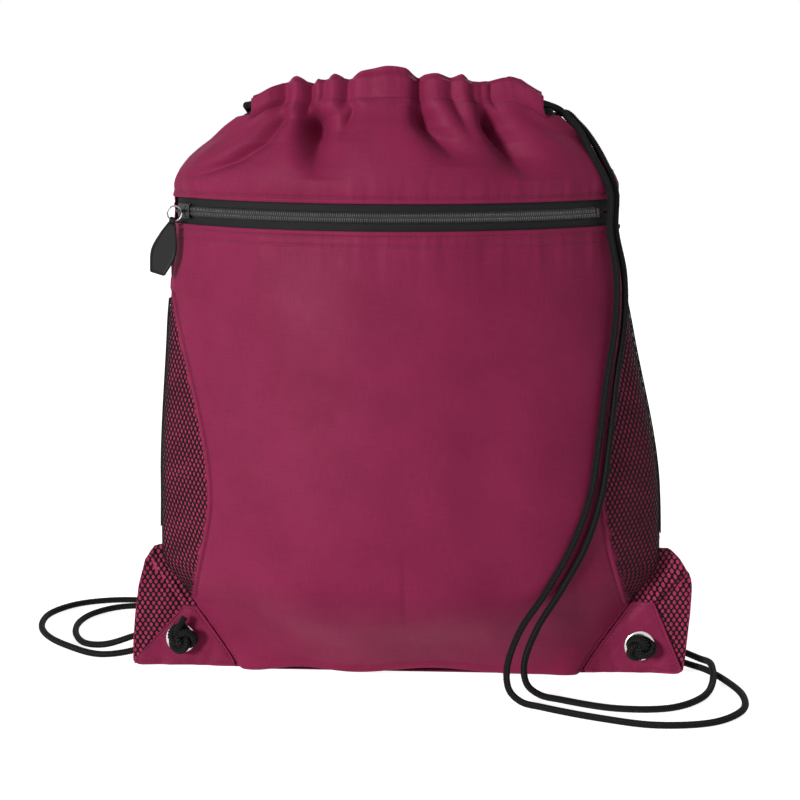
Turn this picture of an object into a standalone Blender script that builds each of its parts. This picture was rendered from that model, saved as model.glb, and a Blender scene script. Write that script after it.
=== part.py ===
"""Drawstring backpack with a zipped front pocket and mesh sides, standing filled with its mouth drawn in.

Units are metres, +Z is up, the front faces -Y, and the origin is on the floor under the middle of the bag.
"""

import math
from collections import namedtuple

import bmesh
import bpy
import numpy as np
from mathutils import Matrix, Vector

# The filled form: level outlines stacked from the floor to the rim. Each outline is a lens of two
# arcs, rounded off at both sides by side_radius, and rise is its height above the outline before it.
Outline = namedtuple("Outline", "rise half_width half_depth side_radius")
BASE = Outline(0.000, 0.1040, 0.0220, 0.0055)
FOOT = Outline(0.016, 0.1140, 0.0430, 0.0055)
CORNER = Outline(0.029, 0.1340, 0.0640, 0.0060)
HIP = Outline(0.030, 0.1530, 0.0720, 0.0120)
BELLY = Outline(0.045, 0.1520, 0.0760, 0.0240)
CHEST = Outline(0.095, 0.1405, 0.0740, 0.0220)
ZIP_LOW = Outline(0.057, 0.1335, 0.0660, 0.0080)
ZIP_BAND = 0.028
SHOULDER = Outline(0.0267, 0.1160, 0.0530, 0.0100)
GATHER = Outline(0.0150, 0.1010, 0.0390, 0.0120)
RIM = Outline(0.0058, 0.0930, 0.0290, 0.0120)
BASE_ROUND = 0.004
LEAN = -0.0085
LEAN_START = 0.100
MOUTH_TILT = math.radians(18)

# Cloth, and the gaps that keep sewn pieces apart
CLOTH = 0.0008
NET = 0.0005
SEAM_GAP = 0.0004
LAYER_GAP = 0.0004
POCKET_SPACE = 0.005

# Side panels of net over lining
WAIST_HALF_WIDTH = 0.1180
WAIST_HEIGHT = 0.122
NET_LOW = 0.047
NET_HIGH = 0.236
NET_TIP = 0.002
BINDING_WIDTH = 0.004

# Flat corners with their patches and grommets
FLAP_REACH = 0.017
FLAP_HEIGHT = 0.080
FLAP_TOP_IN = 0.010
FLAP_ROUND = 0.008
FLAP_LIFT = 0.0006
FLAP = 0.0016
PATCH_HEIGHT = 0.046
PATCH_TOP_WIDTH = 0.004
PATCH_MARGIN = 0.0015
GROMMET_INSET = 0.028
GROMMET_HEIGHT = 0.0195
GROMMET_BORE = 0.0098
GROMMET_WALL = 0.0005
GROMMET_FLANGE = 0.0190
GROMMET_CROWN = 0.0011
WASHER_THICK = 0.0007
FIT = 0.0003

# Drawcords, their casing and knots
CORD = 0.0042
CORD_SPACING = 0.0052
CORD_END_GAP = 0.0007
CASING_SLACK = 0.0006
CASING_WALL = 0.0011
CASING_HEADING = 0.0022
CASING_RUFFLE = 0.0020
CASING_RUFFLES = 9
EXIT_GAP = 0.0145
KNOT_CORD = 0.0038
KNOT_RADIUS = 0.00455
KNOT_WEAVE = 0.0020
KNOT_RISE = 0.0023

# Zip: tapes, coils, slider, ring and pull
ZIP_WINDOW = 0.0156
TAPE_HEIGHT = 0.0120
TAPE = 0.0006
TAPE_BEHIND = 0.0006
COIL_WIDTH = 0.0025
COIL_HEIGHT = 0.0018
COIL_PARTING = 0.0012
ZIP_END_MARGIN = math.radians(0.8)
STOP_LENGTH = 0.0026
OPEN_END_TAPE = 0.0120
SLIDER_LENGTH = 0.0110
SLIDER_PLATE = 0.0012
SLIDER_RAIL = 0.0010
SLIDER_NECK = 0.0006
SLIDER_NECK_LENGTH = 0.0026
BRIDGE_LENGTH = 0.0056
BRIDGE_WIDTH = 0.0016
BRIDGE_EYE = 0.0023
BRIDGE_BAR = 0.0009
RING_RADIUS = 0.0044
RING_WIRE = 0.0011
RING_DROOP = math.radians(20)
PULL_LEAN = math.radians(17)
PULL_LENGTH = 0.0320
PULL_WIDTH = 0.0152
PULL_END_WIDTH = 0.0093
PULL_NECK_WIDTH = 0.0044
PULL_THICK = 0.0020
PULL_RIM = 0.0012
PULL_RECESS = 0.0004
PULL_LOOP_WIDTH = 0.0036
PULL_LOOP_WALL = 0.0008

COLUMNS = 18
CORD_STEP = 2.9 * CORD

MAROON = (0.216, 0.024, 0.071)
BLACK = (0.012, 0.012, 0.013)
NICKEL = (0.62, 0.61, 0.60)
GUNMETAL = (0.10, 0.10, 0.105)


# Materials

def material(name, colour, roughness, metallic=0.0):
    made = bpy.data.materials.new(name)
    made.use_nodes = True
    shader = made.node_tree.nodes["Principled BSDF"]
    shader.inputs["Base Color"].default_value = (*colour, 1.0)
    shader.inputs["Roughness"].default_value = roughness
    shader.inputs["Metallic"].default_value = metallic
    return made


# The filled form

def stack(*outlines):
    """The outlines with their heights above the floor, the zip band twice so that it is upright."""
    rises = np.cumsum([outline.rise for outline in outlines])
    return [(height, *outline[1:]) for height, outline in zip(rises, outlines)]


ZIP_HIGH = ZIP_LOW._replace(rise=ZIP_BAND)
FORM = stack(BASE, FOOT, CORNER, HIP, BELLY, CHEST, ZIP_LOW, ZIP_HIGH, SHOULDER, GATHER, RIM)
FORM_HEIGHTS = [level[0] for level in FORM]
ZIP_BOTTOM = FORM_HEIGHTS[6]
ZIP_TOP = FORM_HEIGHTS[7]
ZIP_HEIGHT = (ZIP_BOTTOM + ZIP_TOP) / 2
RIM_HEIGHT = FORM_HEIGHTS[-1]


def smooth_through(places, values, at):
    """A curve through the values that never overshoots them, read at one place."""
    places, values = np.asarray(places, float), np.asarray(values, float)
    steps, slopes = np.diff(places), np.diff(values) / np.diff(places)
    bends = np.zeros(len(places))
    bends[0], bends[-1] = slopes[0], slopes[-1]
    for i in range(1, len(places) - 1):
        if slopes[i - 1] * slopes[i] > 0:
            wide, near = 2 * steps[i] + steps[i - 1], steps[i] + 2 * steps[i - 1]
            bends[i] = (wide + near) / (wide / slopes[i - 1] + near / slopes[i])
    at = min(max(at, places[0]), places[-1])
    i = min(int(np.searchsorted(places, at, side="right")) - 1, len(steps) - 1)
    t = (at - places[i]) / steps[i]
    rest = 1 - t
    return float(
        values[i] * (1 + 2 * t) * rest**2
        + bends[i] * steps[i] * t * rest**2
        + values[i + 1] * t * t * (3 - 2 * t)
        - bends[i + 1] * steps[i] * t * t * rest
    )


def ease(share):
    share = min(max(share, 0.0), 1.0)
    return share * share * (3 - 2 * share)


class Level:
    """One level outline: its front arc, its rounded sides, and the same at the back."""

    def __init__(self, height):
        height = max(height, BASE_ROUND)
        half_width, half_depth, self.side = (
            smooth_through(FORM_HEIGHTS, [level[k] for level in FORM], height) for k in (1, 2, 3)
        )
        self.lens = half_width - self.side
        sag = half_depth - self.side
        self.arc = (self.lens**2 + sag**2) / (2 * sag)
        self.behind = self.arc - sag
        self.turn = math.atan2(self.lens, self.behind)
        self.front_run = self.turn * (self.arc + self.side)
        self.half_run = self.front_run + self.side * (math.pi / 2 - self.turn)
        self.half_width = half_width

    def normal_at(self, run):
        """The angle of the outward normal from straight ahead, at a distance along the outline."""
        distance = abs(run)
        if distance <= self.front_run:
            angle = distance / (self.arc + self.side)
        else:
            angle = self.turn + (distance - self.front_run) / self.side
        return math.copysign(angle, run)

    def run_at(self, across):
        """The distance along the outline to a place that far across, up to the side."""
        reach = (self.arc + self.side) * math.sin(self.turn)
        if across <= reach:
            return math.asin(across / (self.arc + self.side)) * (self.arc + self.side)
        angle = math.asin(min((across - self.lens) / self.side, 1.0))
        return self.front_run + (angle - self.turn) * self.side

    def point(self, angle, inset=0.0, facing=-1):
        """A place on the outline, moved in by inset; facing is -1 on the front and 1 at the back."""
        if abs(angle) <= self.turn:
            radius = self.arc + self.side - inset
            return radius * math.sin(angle), facing * (radius * math.cos(angle) - self.behind)
        radius = self.side - inset
        middle = math.copysign(self.lens, angle)
        return middle + radius * math.sin(angle), facing * radius * math.cos(angle)


def settled(x, y, z):
    """The lean to one side and the backward tilt of the mouth, which every sewn piece follows."""
    above = ease((z - ZIP_TOP) / (RIM_HEIGHT - ZIP_TOP))
    leaning = ease((z - LEAN_START) / (ZIP_BOTTOM - LEAN_START))
    return Vector((x + LEAN * leaning, y, z - y * math.tan(MOUTH_TILT) * above))


def seam_run(height):
    """How far along the outline the front's curved side seam lies from the middle."""
    level = Level(height)
    if not NET_LOW < height < NET_HIGH:
        return level.half_run
    low, high = Level(NET_LOW).half_width - NET_TIP, Level(NET_HIGH).half_width - NET_TIP
    across = smooth_through(
        (NET_LOW, WAIST_HEIGHT, NET_HIGH), (low, WAIST_HALF_WIDTH, high), height
    )
    return level.run_at(across)


# Sheets of cloth on the form

def add(name, mesh, finish, parent=None):
    made = bpy.data.objects.new(name, mesh)
    bpy.context.scene.collection.objects.link(made)
    made.parent = parent
    if finish:
        mesh.materials.append(finish)
    return made


def mesh_from(name, points, faces):
    mesh = bpy.data.meshes.new(name)
    mesh.from_pydata([tuple(point) for point in points], [], faces)
    mesh.shade_smooth()
    mesh.set_sharp_from_angle(angle=math.radians(35))
    return mesh


def sheet(name, outer, inner, finish):
    """A sheet of cloth between two equal grids of places, closed round its edge.

    Both layers are split along the same diagonals, so that they never meet.
    """
    rows, columns = len(outer), len(outer[0])
    points = [point for grid in (outer, inner) for row in grid for point in row]
    under = rows * columns

    def at(row, column, layer=0):
        return layer * under + row * columns + column

    faces = []
    for i in range(rows - 1):
        for j in range(columns - 1):
            near, far = at(i, j), at(i + 1, j + 1)
            for half in ([near, at(i, j + 1), far], [near, far, at(i + 1, j)]):
                faces += [half, [k + under for k in reversed(half)]]
    edge = [at(0, j) for j in range(columns)] + [at(i, columns - 1) for i in range(1, rows)]
    edge += [at(rows - 1, j) for j in range(columns - 2, -1, -1)]
    edge += [at(i, 0) for i in range(rows - 2, 0, -1)]
    for here, there in zip(edge, edge[1:] + edge[:1]):
        faces.append([there, here, here + under, there + under])
    mesh = mesh_from(name, points, faces)
    shaped = bmesh.new()
    shaped.from_mesh(mesh)
    bmesh.ops.recalc_face_normals(shaped, faces=shaped.faces)
    shaped.to_mesh(mesh)
    shaped.free()
    return add(name, mesh, finish)


def spread(low, high, count):
    return [low + (high - low) * i / (count - 1) for i in range(count)]


def crowded(half, count):
    """Places from -half to half that lie closer together towards both ends."""
    shares = spread(-1, 1, count)
    return [half * (0.4 * share + 0.6 * math.sin(math.pi / 2 * share)) for share in shares]


def wall_row(height, runs, depth, facing):
    """One level row of a panel at the given distances along the outline, at a depth inside it."""
    level = Level(height)
    angles = [level.normal_at(run) for run in runs]
    return [settled(*level.point(angle, depth, facing), height) for angle in angles]


def base_rows(depth, facing, columns):
    """The rows that turn under the bag and run in to the seam along the middle of its base."""
    level = Level(BASE_ROUND)
    half, seam = level.half_run - SEAM_GAP / 2, SEAM_GAP / 2
    angles = [level.normal_at(run) for run in crowded(half, columns)]

    def outline(inset, height, inward=1.0, shrink=1.0):
        places = [level.point(angle, inset, facing) for angle in angles]
        outs = [seam + (max(abs(y), seam) - seam) * inward for x, y in places]
        return [Vector((x * shrink, facing * out, height)) for (x, y), out in zip(places, outs)]

    rows = [outline(BASE_ROUND, depth, 0.0, 0.92), outline(BASE_ROUND, depth, 0.5, 0.96)]
    for turn in (90, 45):
        swing = math.radians(turn)
        reach = BASE_ROUND - depth
        rows.append(outline(BASE_ROUND - reach * math.cos(swing), BASE_ROUND - reach * math.sin(swing)))
    return rows


def panel(name, heights, half_run, finish, facing=-1, outside=0.0, under=False, columns=COLUMNS):
    """A panel across the front or the back; half_run says how far it reaches from the middle."""
    layers = []
    for depth in (outside, outside + CLOTH):
        rows = base_rows(depth, facing, columns) if under else []
        for height in heights:
            rows.append(wall_row(height, crowded(half_run(height), columns), depth, facing))
        layers.append(rows)
    return sheet(name, *layers, finish)


LOWER_HEIGHTS = spread(BASE_ROUND, NET_LOW, 4)
NET_ENDS = 0.0035
NET_HEIGHTS = spread(NET_LOW + NET_ENDS, NET_HIGH - NET_ENDS, 9)


def wall_heights(low, high):
    """Heights for a panel's rows: closer together where the form turns in towards the rim."""
    between = [h for h in LOWER_HEIGHTS + NET_HEIGHTS + [NET_HIGH] + FORM_HEIGHTS[6:]
               if low + 0.004 < h < high - 0.004]
    return [low, *sorted(between), high]


def edge_run(height):
    """Up to the front's side seam, less half the seam's gap."""
    return seam_run(height) - SEAM_GAP / 2


def side_run(height):
    return Level(height).half_run - SEAM_GAP / 2


def make_panels(cloth):
    window = ZIP_WINDOW / 2
    rim_edge = RIM_HEIGHT - LAYER_GAP
    panel("back_panel", wall_heights(BASE_ROUND, rim_edge), side_run, cloth, facing=1, under=True)
    panel("pocket_panel", wall_heights(BASE_ROUND, ZIP_HEIGHT - window), edge_run, cloth, under=True)
    panel("upper_front_panel", wall_heights(ZIP_HEIGHT + window, rim_edge), side_run, cloth)

    def pocket_run(height):
        level = Level(height)
        return min(level.front_run, seam_run(height)) - POCKET_SPACE

    heights = wall_heights(CLOTH + LAYER_GAP, ZIP_HEIGHT + TAPE_HEIGHT)
    panel("pocket_back_wall", heights[::2], pocket_run, cloth, outside=POCKET_SPACE, columns=12)


def make_sides(cloth, net, black):
    """Each side: a leaf of lining with net over it, and a binding on the seam at the back."""
    for side, hand in (("left", -1), ("right", 1)):
        for name, outside, thick, finish in (
            ("lining", NET + LAYER_GAP, CLOTH, cloth),
            ("mesh", 0.0, NET, net),
        ):
            layers = []
            for depth in (outside, outside + thick):
                rows = []
                for height in NET_HEIGHTS:
                    runs = spread(seam_run(height) + SEAM_GAP / 2, side_run(height), 7)
                    rows.append(wall_row(height, [hand * run for run in runs], depth, -1))
                layers.append(rows)
            sheet(f"{side}_side_{name}", *layers, finish)
        layers = []
        for depth in (-LAYER_GAP, -LAYER_GAP - NET):
            rows = []
            for height in NET_HEIGHTS[2:]:
                level = Level(height)
                angle = math.pi / 2 - BINDING_WIDTH / 2 / level.side
                front = [level.point(hand * a, depth, -1) for a in (angle, math.pi / 2)]
                back = [level.point(hand * angle, depth, 1)]
                rows.append([settled(x, y, height) for x, y in front + back])
            layers.append(rows)
        sheet(f"{side}_side_binding", *layers, black)


# Flat corners

def prism(name, outline, low, high, finish):
    """An outline in X and Z, given from the floor side round, made a plate from low to high in Y."""
    shaped = bmesh.new()
    face = shaped.faces.new([shaped.verts.new((x, low, z)) for x, z in outline])
    grown = bmesh.ops.extrude_face_region(shaped, geom=[face])
    moved = [item for item in grown["geom"] if isinstance(item, bmesh.types.BMVert)]
    bmesh.ops.translate(shaped, verts=moved, vec=(0, high - low, 0))
    bmesh.ops.recalc_face_normals(shaped, faces=shaped.faces)
    mesh = bpy.data.meshes.new(name)
    shaped.to_mesh(mesh)
    shaped.free()
    return add(name, mesh, finish)


def boolean(target, tool, operation):
    """Cuts the tool from the target, or joins it on, and hides the tool."""
    change = target.modifiers.new(tool.name, "BOOLEAN")
    change.operation = operation
    change.object = tool
    tool.hide_render = True
    tool.display_type = "WIRE"
    return target


def rod(name, radius, low, high, place, sides=16):
    """A round bar along Y at a place in X and Z."""
    shaped = bmesh.new()
    turned = Matrix.Translation((place[0], (low + high) / 2, place[1])) @ Matrix.Rotation(
        math.pi / 2, 4, "X"
    )
    bmesh.ops.create_cone(
        shaped, cap_ends=True, segments=sides, radius1=radius, radius2=radius,
        depth=high - low, matrix=turned,
    )
    mesh = bpy.data.meshes.new(name)
    shaped.to_mesh(mesh)
    shaped.free()
    return add(name, mesh, None)


def turned_ring(name, profile, place, finish, steps=18):
    """A closed profile of (radius, y) corners spun round an axis along Y."""
    shaped = bmesh.new()
    corners = [shaped.verts.new((radius, y, 0)) for radius, y in profile]
    edges = [shaped.edges.new(pair) for pair in zip(corners, corners[1:] + corners[:1])]
    bmesh.ops.spin(
        shaped, geom=corners + edges, axis=(0, 1, 0), cent=(0, 0, 0),
        angle=2 * math.pi, steps=steps, use_merge=True,
    )
    bmesh.ops.remove_doubles(shaped, verts=shaped.verts, dist=0.00002)
    bmesh.ops.recalc_face_normals(shaped, faces=shaped.faces)
    bmesh.ops.translate(shaped, verts=shaped.verts, vec=(place[0], 0, place[1]))
    mesh = bpy.data.meshes.new(name)
    shaped.to_mesh(mesh)
    shaped.free()
    mesh.shade_smooth()
    mesh.set_sharp_from_angle(angle=math.radians(35))
    return add(name, mesh, finish)


def arc_points(middle, radius, start, end, count):
    """Places on an arc in X and Z, with angles in degrees."""
    swings = [math.radians(angle) for angle in spread(start, end, count)]
    return [(middle[0] + radius * math.cos(a), middle[1] + radius * math.sin(a)) for a in swings]


FLAP_HALF_SPAN = HIP.half_width + FLAP_REACH
GROMMET_X = FLAP_HALF_SPAN - GROMMET_INSET
PATCH_FACE = FLAP / 2 + LAYER_GAP + CLOTH
FLAP_RISES = [FLAP_LIFT] + [h for h in LOWER_HEIGHTS + NET_HEIGHTS if h < FLAP_HEIGHT - 0.004]


def body_edge(height, hand):
    """How far out the filled bag's side lies at that height, with the gap that the flap keeps to it."""
    return hand * settled(hand * Level(height).half_width, 0, height).x + SEAM_GAP


def flap_outline(hand):
    """One corner in X and Z: along the floor, up its outer edge and down the bag's side."""
    outer, top = FLAP_HALF_SPAN - FLAP_ROUND, FLAP_HEIGHT - FLAP_ROUND
    lower = arc_points((outer, FLAP_LIFT + FLAP_ROUND), FLAP_ROUND, -90, 0, 5)
    upper = arc_points((outer - FLAP_TOP_IN / 4, top), FLAP_ROUND, 10, 100, 5)
    inner = [(body_edge(h, hand), h) for h in reversed(FLAP_RISES + [FLAP_HEIGHT])]
    return [(hand * x, z) for x, z in lower + upper + inner]


def patch_outline(hand):
    """The triangle of cloth that carries the grommet, a margin inside the corner's edges."""
    foot = FLAP_LIFT + PATCH_MARGIN
    middle = (foot + PATCH_HEIGHT) / 2
    inner = [(body_edge(h, hand) + PATCH_MARGIN, h) for h in (PATCH_HEIGHT, middle, foot)]
    tip = FLAP_HALF_SPAN - PATCH_MARGIN
    outer = [(tip - FLAP_ROUND, foot), (tip, foot + FLAP_ROUND)]
    outer.append((inner[0][0] + PATCH_TOP_WIDTH, PATCH_HEIGHT))
    return [(hand * x, z) for x, z in outer + inner]


def make_corners(cloth, net, nickel):
    bore, barrel = GROMMET_BORE / 2, GROMMET_BORE / 2 + GROMMET_WALL
    flange = GROMMET_FLANGE / 2
    front, back = -PATCH_FACE - FIT, PATCH_FACE + FIT
    crown, washer_back = front - GROMMET_CROWN, back + WASHER_THICK
    for side, hand in (("left", -1), ("right", 1)):
        place = (hand * GROMMET_X, GROMMET_HEIGHT)
        flap, patch = flap_outline(hand), patch_outline(hand)
        plates = [
            prism(f"{side}_corner_flap", flap, -FLAP / 2, FLAP / 2, net),
            prism(f"{side}_corner_patch_front", patch, -PATCH_FACE, CLOTH - PATCH_FACE, cloth),
            prism(f"{side}_corner_patch_back", patch, PATCH_FACE - CLOTH, PATCH_FACE, cloth),
        ]
        hole = rod(f"{side}_grommet_hole", barrel + FIT, -PATCH_FACE * 2, PATCH_FACE * 2, place)
        for plate in plates:
            boolean(plate, hole, "DIFFERENCE")
        profile = [
            (bore, washer_back + FIT), (bore, front - GROMMET_CROWN / 2),
            (bore + GROMMET_CROWN / 2, crown), (flange - GROMMET_CROWN * 1.5, crown),
            (flange - GROMMET_CROWN / 2, crown + GROMMET_CROWN * 0.3), (flange, front),
            (barrel, front), (barrel, washer_back + FIT),
        ]
        turned_ring(f"{side}_grommet", profile, place, nickel)
        profile = [
            (barrel + FIT, back), (flange, back), (flange - WASHER_THICK / 2, washer_back),
            (barrel + FIT + WASHER_THICK / 2, washer_back),
        ]
        turned_ring(f"{side}_grommet_washer", profile, place, nickel)


# Casing round the mouth, with the two cords that run in it

CAVITY = CORD / 2 + CASING_SLACK
SLEEVE = CAVITY + CASING_WALL
CASING_MIDDLE = RIM_HEIGHT + LAYER_GAP + CORD_SPACING / 2 + SLEEVE


def casing_path(run, rise, facing):
    """A place on the middle line of the casing; run goes from -1 at the left side to 1 at the right."""
    level = Level(RIM_HEIGHT)
    angle = level.normal_at(run * level.half_run)
    x, y = level.point(angle, SLEEVE, facing)
    return settled(x, y, RIM_HEIGHT) + Vector((0, 0, CASING_MIDDLE - RIM_HEIGHT + rise))


def casing_frame(run, facing):
    """The level direction out of the bag, square to the casing."""
    level = Level(RIM_HEIGHT)
    angle = level.normal_at(run * level.half_run)
    return Vector((math.sin(angle), facing * math.cos(angle), 0))


def casing_end():
    """How far round each half of the casing reaches, as a share of the way to the side."""
    return 1 - EXIT_GAP / Level(RIM_HEIGHT).half_run


def casing_runs():
    return spread(-casing_end(), casing_end(), COLUMNS - 2)


def slot_outline(radius, top=0.0, count=4):
    """An upright slot with round ends, as (out, up) corners; top adds to its upper end."""
    half = CORD_SPACING / 2
    upper = [(radius * math.cos(a), half + top + radius * math.sin(a))
             for a in spread(0, math.pi, count)]
    lower = [(radius * math.cos(a), -half + radius * math.sin(a))
             for a in spread(math.pi, 2 * math.pi, count)]
    return upper + lower


def make_casing(cloth):
    """Two sleeves, front and back; the front's heading stands up in ruffles."""
    for name, facing in (("front_casing", -1), ("back_casing", 1)):
        rings = []
        for run in casing_runs():
            out, middle = casing_frame(run, facing), casing_path(run, 0, facing)
            ruffle = CASING_HEADING + CASING_RUFFLE * math.cos(CASING_RUFFLES * math.pi * run)
            pair = []
            for corners in (slot_outline(SLEEVE, ruffle), slot_outline(CAVITY)):
                pair.append([middle + out * o + Vector((0, 0, up)) for o, up in corners])
            rings.append(pair)
        around = len(rings[0][0])
        points = [point for pair in rings for ring in pair for point in ring]

        def at(ring, layer, k):
            return (ring * 2 + layer) * around + k % around

        faces = []
        for i in range(len(rings) - 1):
            for k in range(around):
                faces.append([at(i, 0, k), at(i, 0, k + 1), at(i + 1, 0, k + 1), at(i + 1, 0, k)])
                faces.append([at(i, 1, k), at(i + 1, 1, k), at(i + 1, 1, k + 1), at(i, 1, k + 1)])
        for i in (0, len(rings) - 1):
            faces += [[at(i, 0, k), at(i, 1, k), at(i, 1, k + 1), at(i, 0, k + 1)]
                      for k in range(around)]
        mesh = mesh_from(name, points, faces)
        shaped = bmesh.new()
        shaped.from_mesh(mesh)
        bmesh.ops.recalc_face_normals(shaped, faces=shaped.faces)
        shaped.to_mesh(mesh)
        shaped.free()
        add(name, mesh, cloth)


def tube(name, points, width, finish, closed=False, resolution=2):
    """A round cord along the points."""
    line = bpy.data.curves.new(name, "CURVE")
    line.dimensions = "3D"
    line.bevel_depth = width / 2
    line.bevel_resolution = resolution
    line.use_fill_caps = not closed
    spline = line.splines.new("POLY")
    spline.points.add(len(points) - 1)
    for spot, point in zip(spline.points, points):
        spot.co = (*point, 1.0)
    spline.use_cyclic_u = closed
    return add(name, line, finish)


def smooth_route(points, step):
    """Places a step apart on a smooth curve through the chosen points."""
    spots = np.array([tuple(point) for point in points])
    ends = np.vstack([2 * spots[0] - spots[1], spots, 2 * spots[-1] - spots[-2]])
    fine = []
    for i in range(1, len(ends) - 2):
        a, b, c, d = ends[i - 1:i + 3]
        knots = np.cumsum([0.0] + [np.linalg.norm(q - p) ** 0.5 for p, q in ((a, b), (b, c), (c, d))])
        for t in np.linspace(knots[1], knots[2], 24, endpoint=False):
            ab = ((knots[1] - t) * a + t * b) / knots[1]
            bc = ((knots[2] - t) * b + (t - knots[1]) * c) / (knots[2] - knots[1])
            cd = ((knots[3] - t) * c + (t - knots[2]) * d) / (knots[3] - knots[2])
            abc = ((knots[2] - t) * ab + t * bc) / knots[2]
            bcd = ((knots[3] - t) * bc + (t - knots[1]) * cd) / (knots[3] - knots[1])
            fine.append(((knots[2] - t) * abc + (t - knots[1]) * bcd) / (knots[2] - knots[1]))
    fine = np.array(fine + [spots[-1]])
    along = np.concatenate([[0.0], np.cumsum(np.linalg.norm(np.diff(fine, axis=0), axis=1))])
    places = np.linspace(0, along[-1], max(int(round(along[-1] / step)), 2) + 1)
    return [Vector([np.interp(p, along, fine[:, k]) for k in range(3)]) for p in places]


def make_casing_cords(black):
    """Each cord goes once round in the casing and comes out at its own side."""
    for side, hand in (("left", -1), ("right", 1)):
        rise = hand * CORD_SPACING / 2
        runs = [hand * run for run in casing_runs()]
        bend = spread(casing_end(), 1, 5)[1:]
        around = [casing_path(run, rise, -1) for run in reversed(runs)]
        around += [casing_path(-hand * run, rise, -1) for run in bend]
        around += [casing_path(-hand * run, rise, 1) for run in reversed(bend[:-1])]
        around += [casing_path(run, rise, 1) for run in runs]
        tube(f"{side}_cord_in_casing", around, CORD, black)


# Free cords from the casing to the knots. Places are chosen by hand along the photographed lie.

KNOT_BACK = -PATCH_FACE - FIT - GROMMET_CROWN - FIT
KNOT_MIDDLE = KNOT_BACK - KNOT_RISE - KNOT_CORD / 2
LEG_END = PATCH_FACE + WASHER_THICK + FIT * 2 + 0.0015
LEG_APART = CORD / 2 + FIT / 2


def make_knots(black):
    """An overhand knot in front of each grommet, with both ends of the cord going back through it."""
    for side, hand in (("left", -1), ("right", 1)):
        middle = Vector((hand * GROMMET_X, KNOT_MIDDLE, GROMMET_HEIGHT))
        wraps = []
        for t in spread(0, 2 * math.pi, 37)[:-1]:
            radius = KNOT_RADIUS + KNOT_WEAVE * math.cos(3 * t)
            weave = KNOT_RISE * math.sin(3 * t)
            wraps.append(middle + Vector((radius * math.cos(2 * t), weave, radius * math.sin(2 * t))))
        form = tube(f"{side}_knot_wraps", wraps, KNOT_CORD, None, closed=True, resolution=1)
        mesh = bpy.data.meshes.new_from_object(form)
        bpy.data.objects.remove(form)
        knot = add(f"{side}_knot", mesh, black)
        for place, rise in (("upper", LEG_APART), ("lower", -LEG_APART)):
            spot = (middle.x, middle.z + rise)
            leg = rod(f"{side}_{place}_leg", CORD / 2, KNOT_MIDDLE, LEG_END, spot, sides=8)
            boolean(knot, leg, "UNION")


# Zip

BAND = Level(ZIP_HEIGHT)
ZIP_RADIUS = BAND.arc + BAND.side
ZIP_AXIS = Vector((settled(0, 0, ZIP_HEIGHT).x, BAND.behind, ZIP_HEIGHT))
ZIP_HALF = BAND.turn - ZIP_END_MARGIN
TAPE_OUT = ZIP_RADIUS - CLOTH - TAPE_BEHIND
COIL_IN = TAPE_OUT + FIT
COIL_OUT = COIL_IN + COIL_HEIGHT
COIL_FAR = COIL_PARTING / 2 + COIL_WIDTH
STOP_TURN = STOP_LENGTH / ZIP_RADIUS
SLIDER_HALF = SLIDER_LENGTH / 2
SLIDER_REST = ZIP_HALF - STOP_TURN - (SLIDER_HALF + FIT) / COIL_IN
OPEN_END = ZIP_HALF - OPEN_END_TAPE / ZIP_RADIUS


def round_the_zip(turn, radius, rise):
    return ZIP_AXIS + Vector((radius * math.sin(turn), -radius * math.cos(turn), rise))


def bent_bar(name, corners, low, high, steps, finish):
    """A bar with a section of (radius, rise) corners, bent round the zip's axis."""
    points, faces = [], []
    for turn in spread(low, high, steps + 1):
        points += [round_the_zip(turn, radius, rise) for radius, rise in corners]
    around = len(corners)
    for i in range(steps):
        for k in range(around):
            n = (k + 1) % around
            faces.append([i * around + k, i * around + n, (i + 1) * around + n, (i + 1) * around + k])
    faces += [list(range(around)), list(range(steps * around, (steps + 1) * around))]
    mesh = mesh_from(name, points, faces)
    shaped = bmesh.new()
    shaped.from_mesh(mesh)
    bmesh.ops.recalc_face_normals(shaped, faces=shaped.faces)
    shaped.to_mesh(mesh)
    shaped.free()
    return add(name, mesh, finish)


def make_zip(black):
    for name, up in (("upper", 1), ("lower", -1)):
        near, far = up * COIL_PARTING / 2, up * TAPE_HEIGHT
        tape = [(TAPE_OUT, near), (TAPE_OUT - TAPE, near), (TAPE_OUT - TAPE, far), (TAPE_OUT, far)]
        bent_bar(f"zip_tape_{name}", tape, -ZIP_HALF, ZIP_HALF, 28, black)
        width, shoulder = up * COIL_WIDTH, COIL_HEIGHT * 0.55
        coil = [
            (COIL_IN, near), (COIL_IN + shoulder, near), (COIL_OUT, near + width * 0.25),
            (COIL_OUT, near + width * 0.75), (COIL_IN + shoulder, near + width), (COIL_IN, near + width),
        ]
        room = STOP_TURN + FIT / COIL_IN
        bent_bar(f"zip_coil_{name}", coil, room - ZIP_HALF, OPEN_END - room, 28, black)
    stop = [(COIL_IN, -COIL_FAR), (COIL_OUT, -COIL_FAR), (COIL_OUT, COIL_FAR), (COIL_IN, COIL_FAR)]
    bent_bar("zip_left_stop", stop, -ZIP_HALF, STOP_TURN - ZIP_HALF, 1, black)
    bent_bar("zip_right_stop", stop, OPEN_END - STOP_TURN, OPEN_END, 1, black)


def empty(name, place, turn=None, parent=None):
    made = bpy.data.objects.new(name, None)
    bpy.context.scene.collection.objects.link(made)
    made.empty_display_size = 0.01
    made.parent = parent
    made.matrix_basis = Matrix.Translation(place) @ (turn or Matrix()).to_4x4()
    return made


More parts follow.
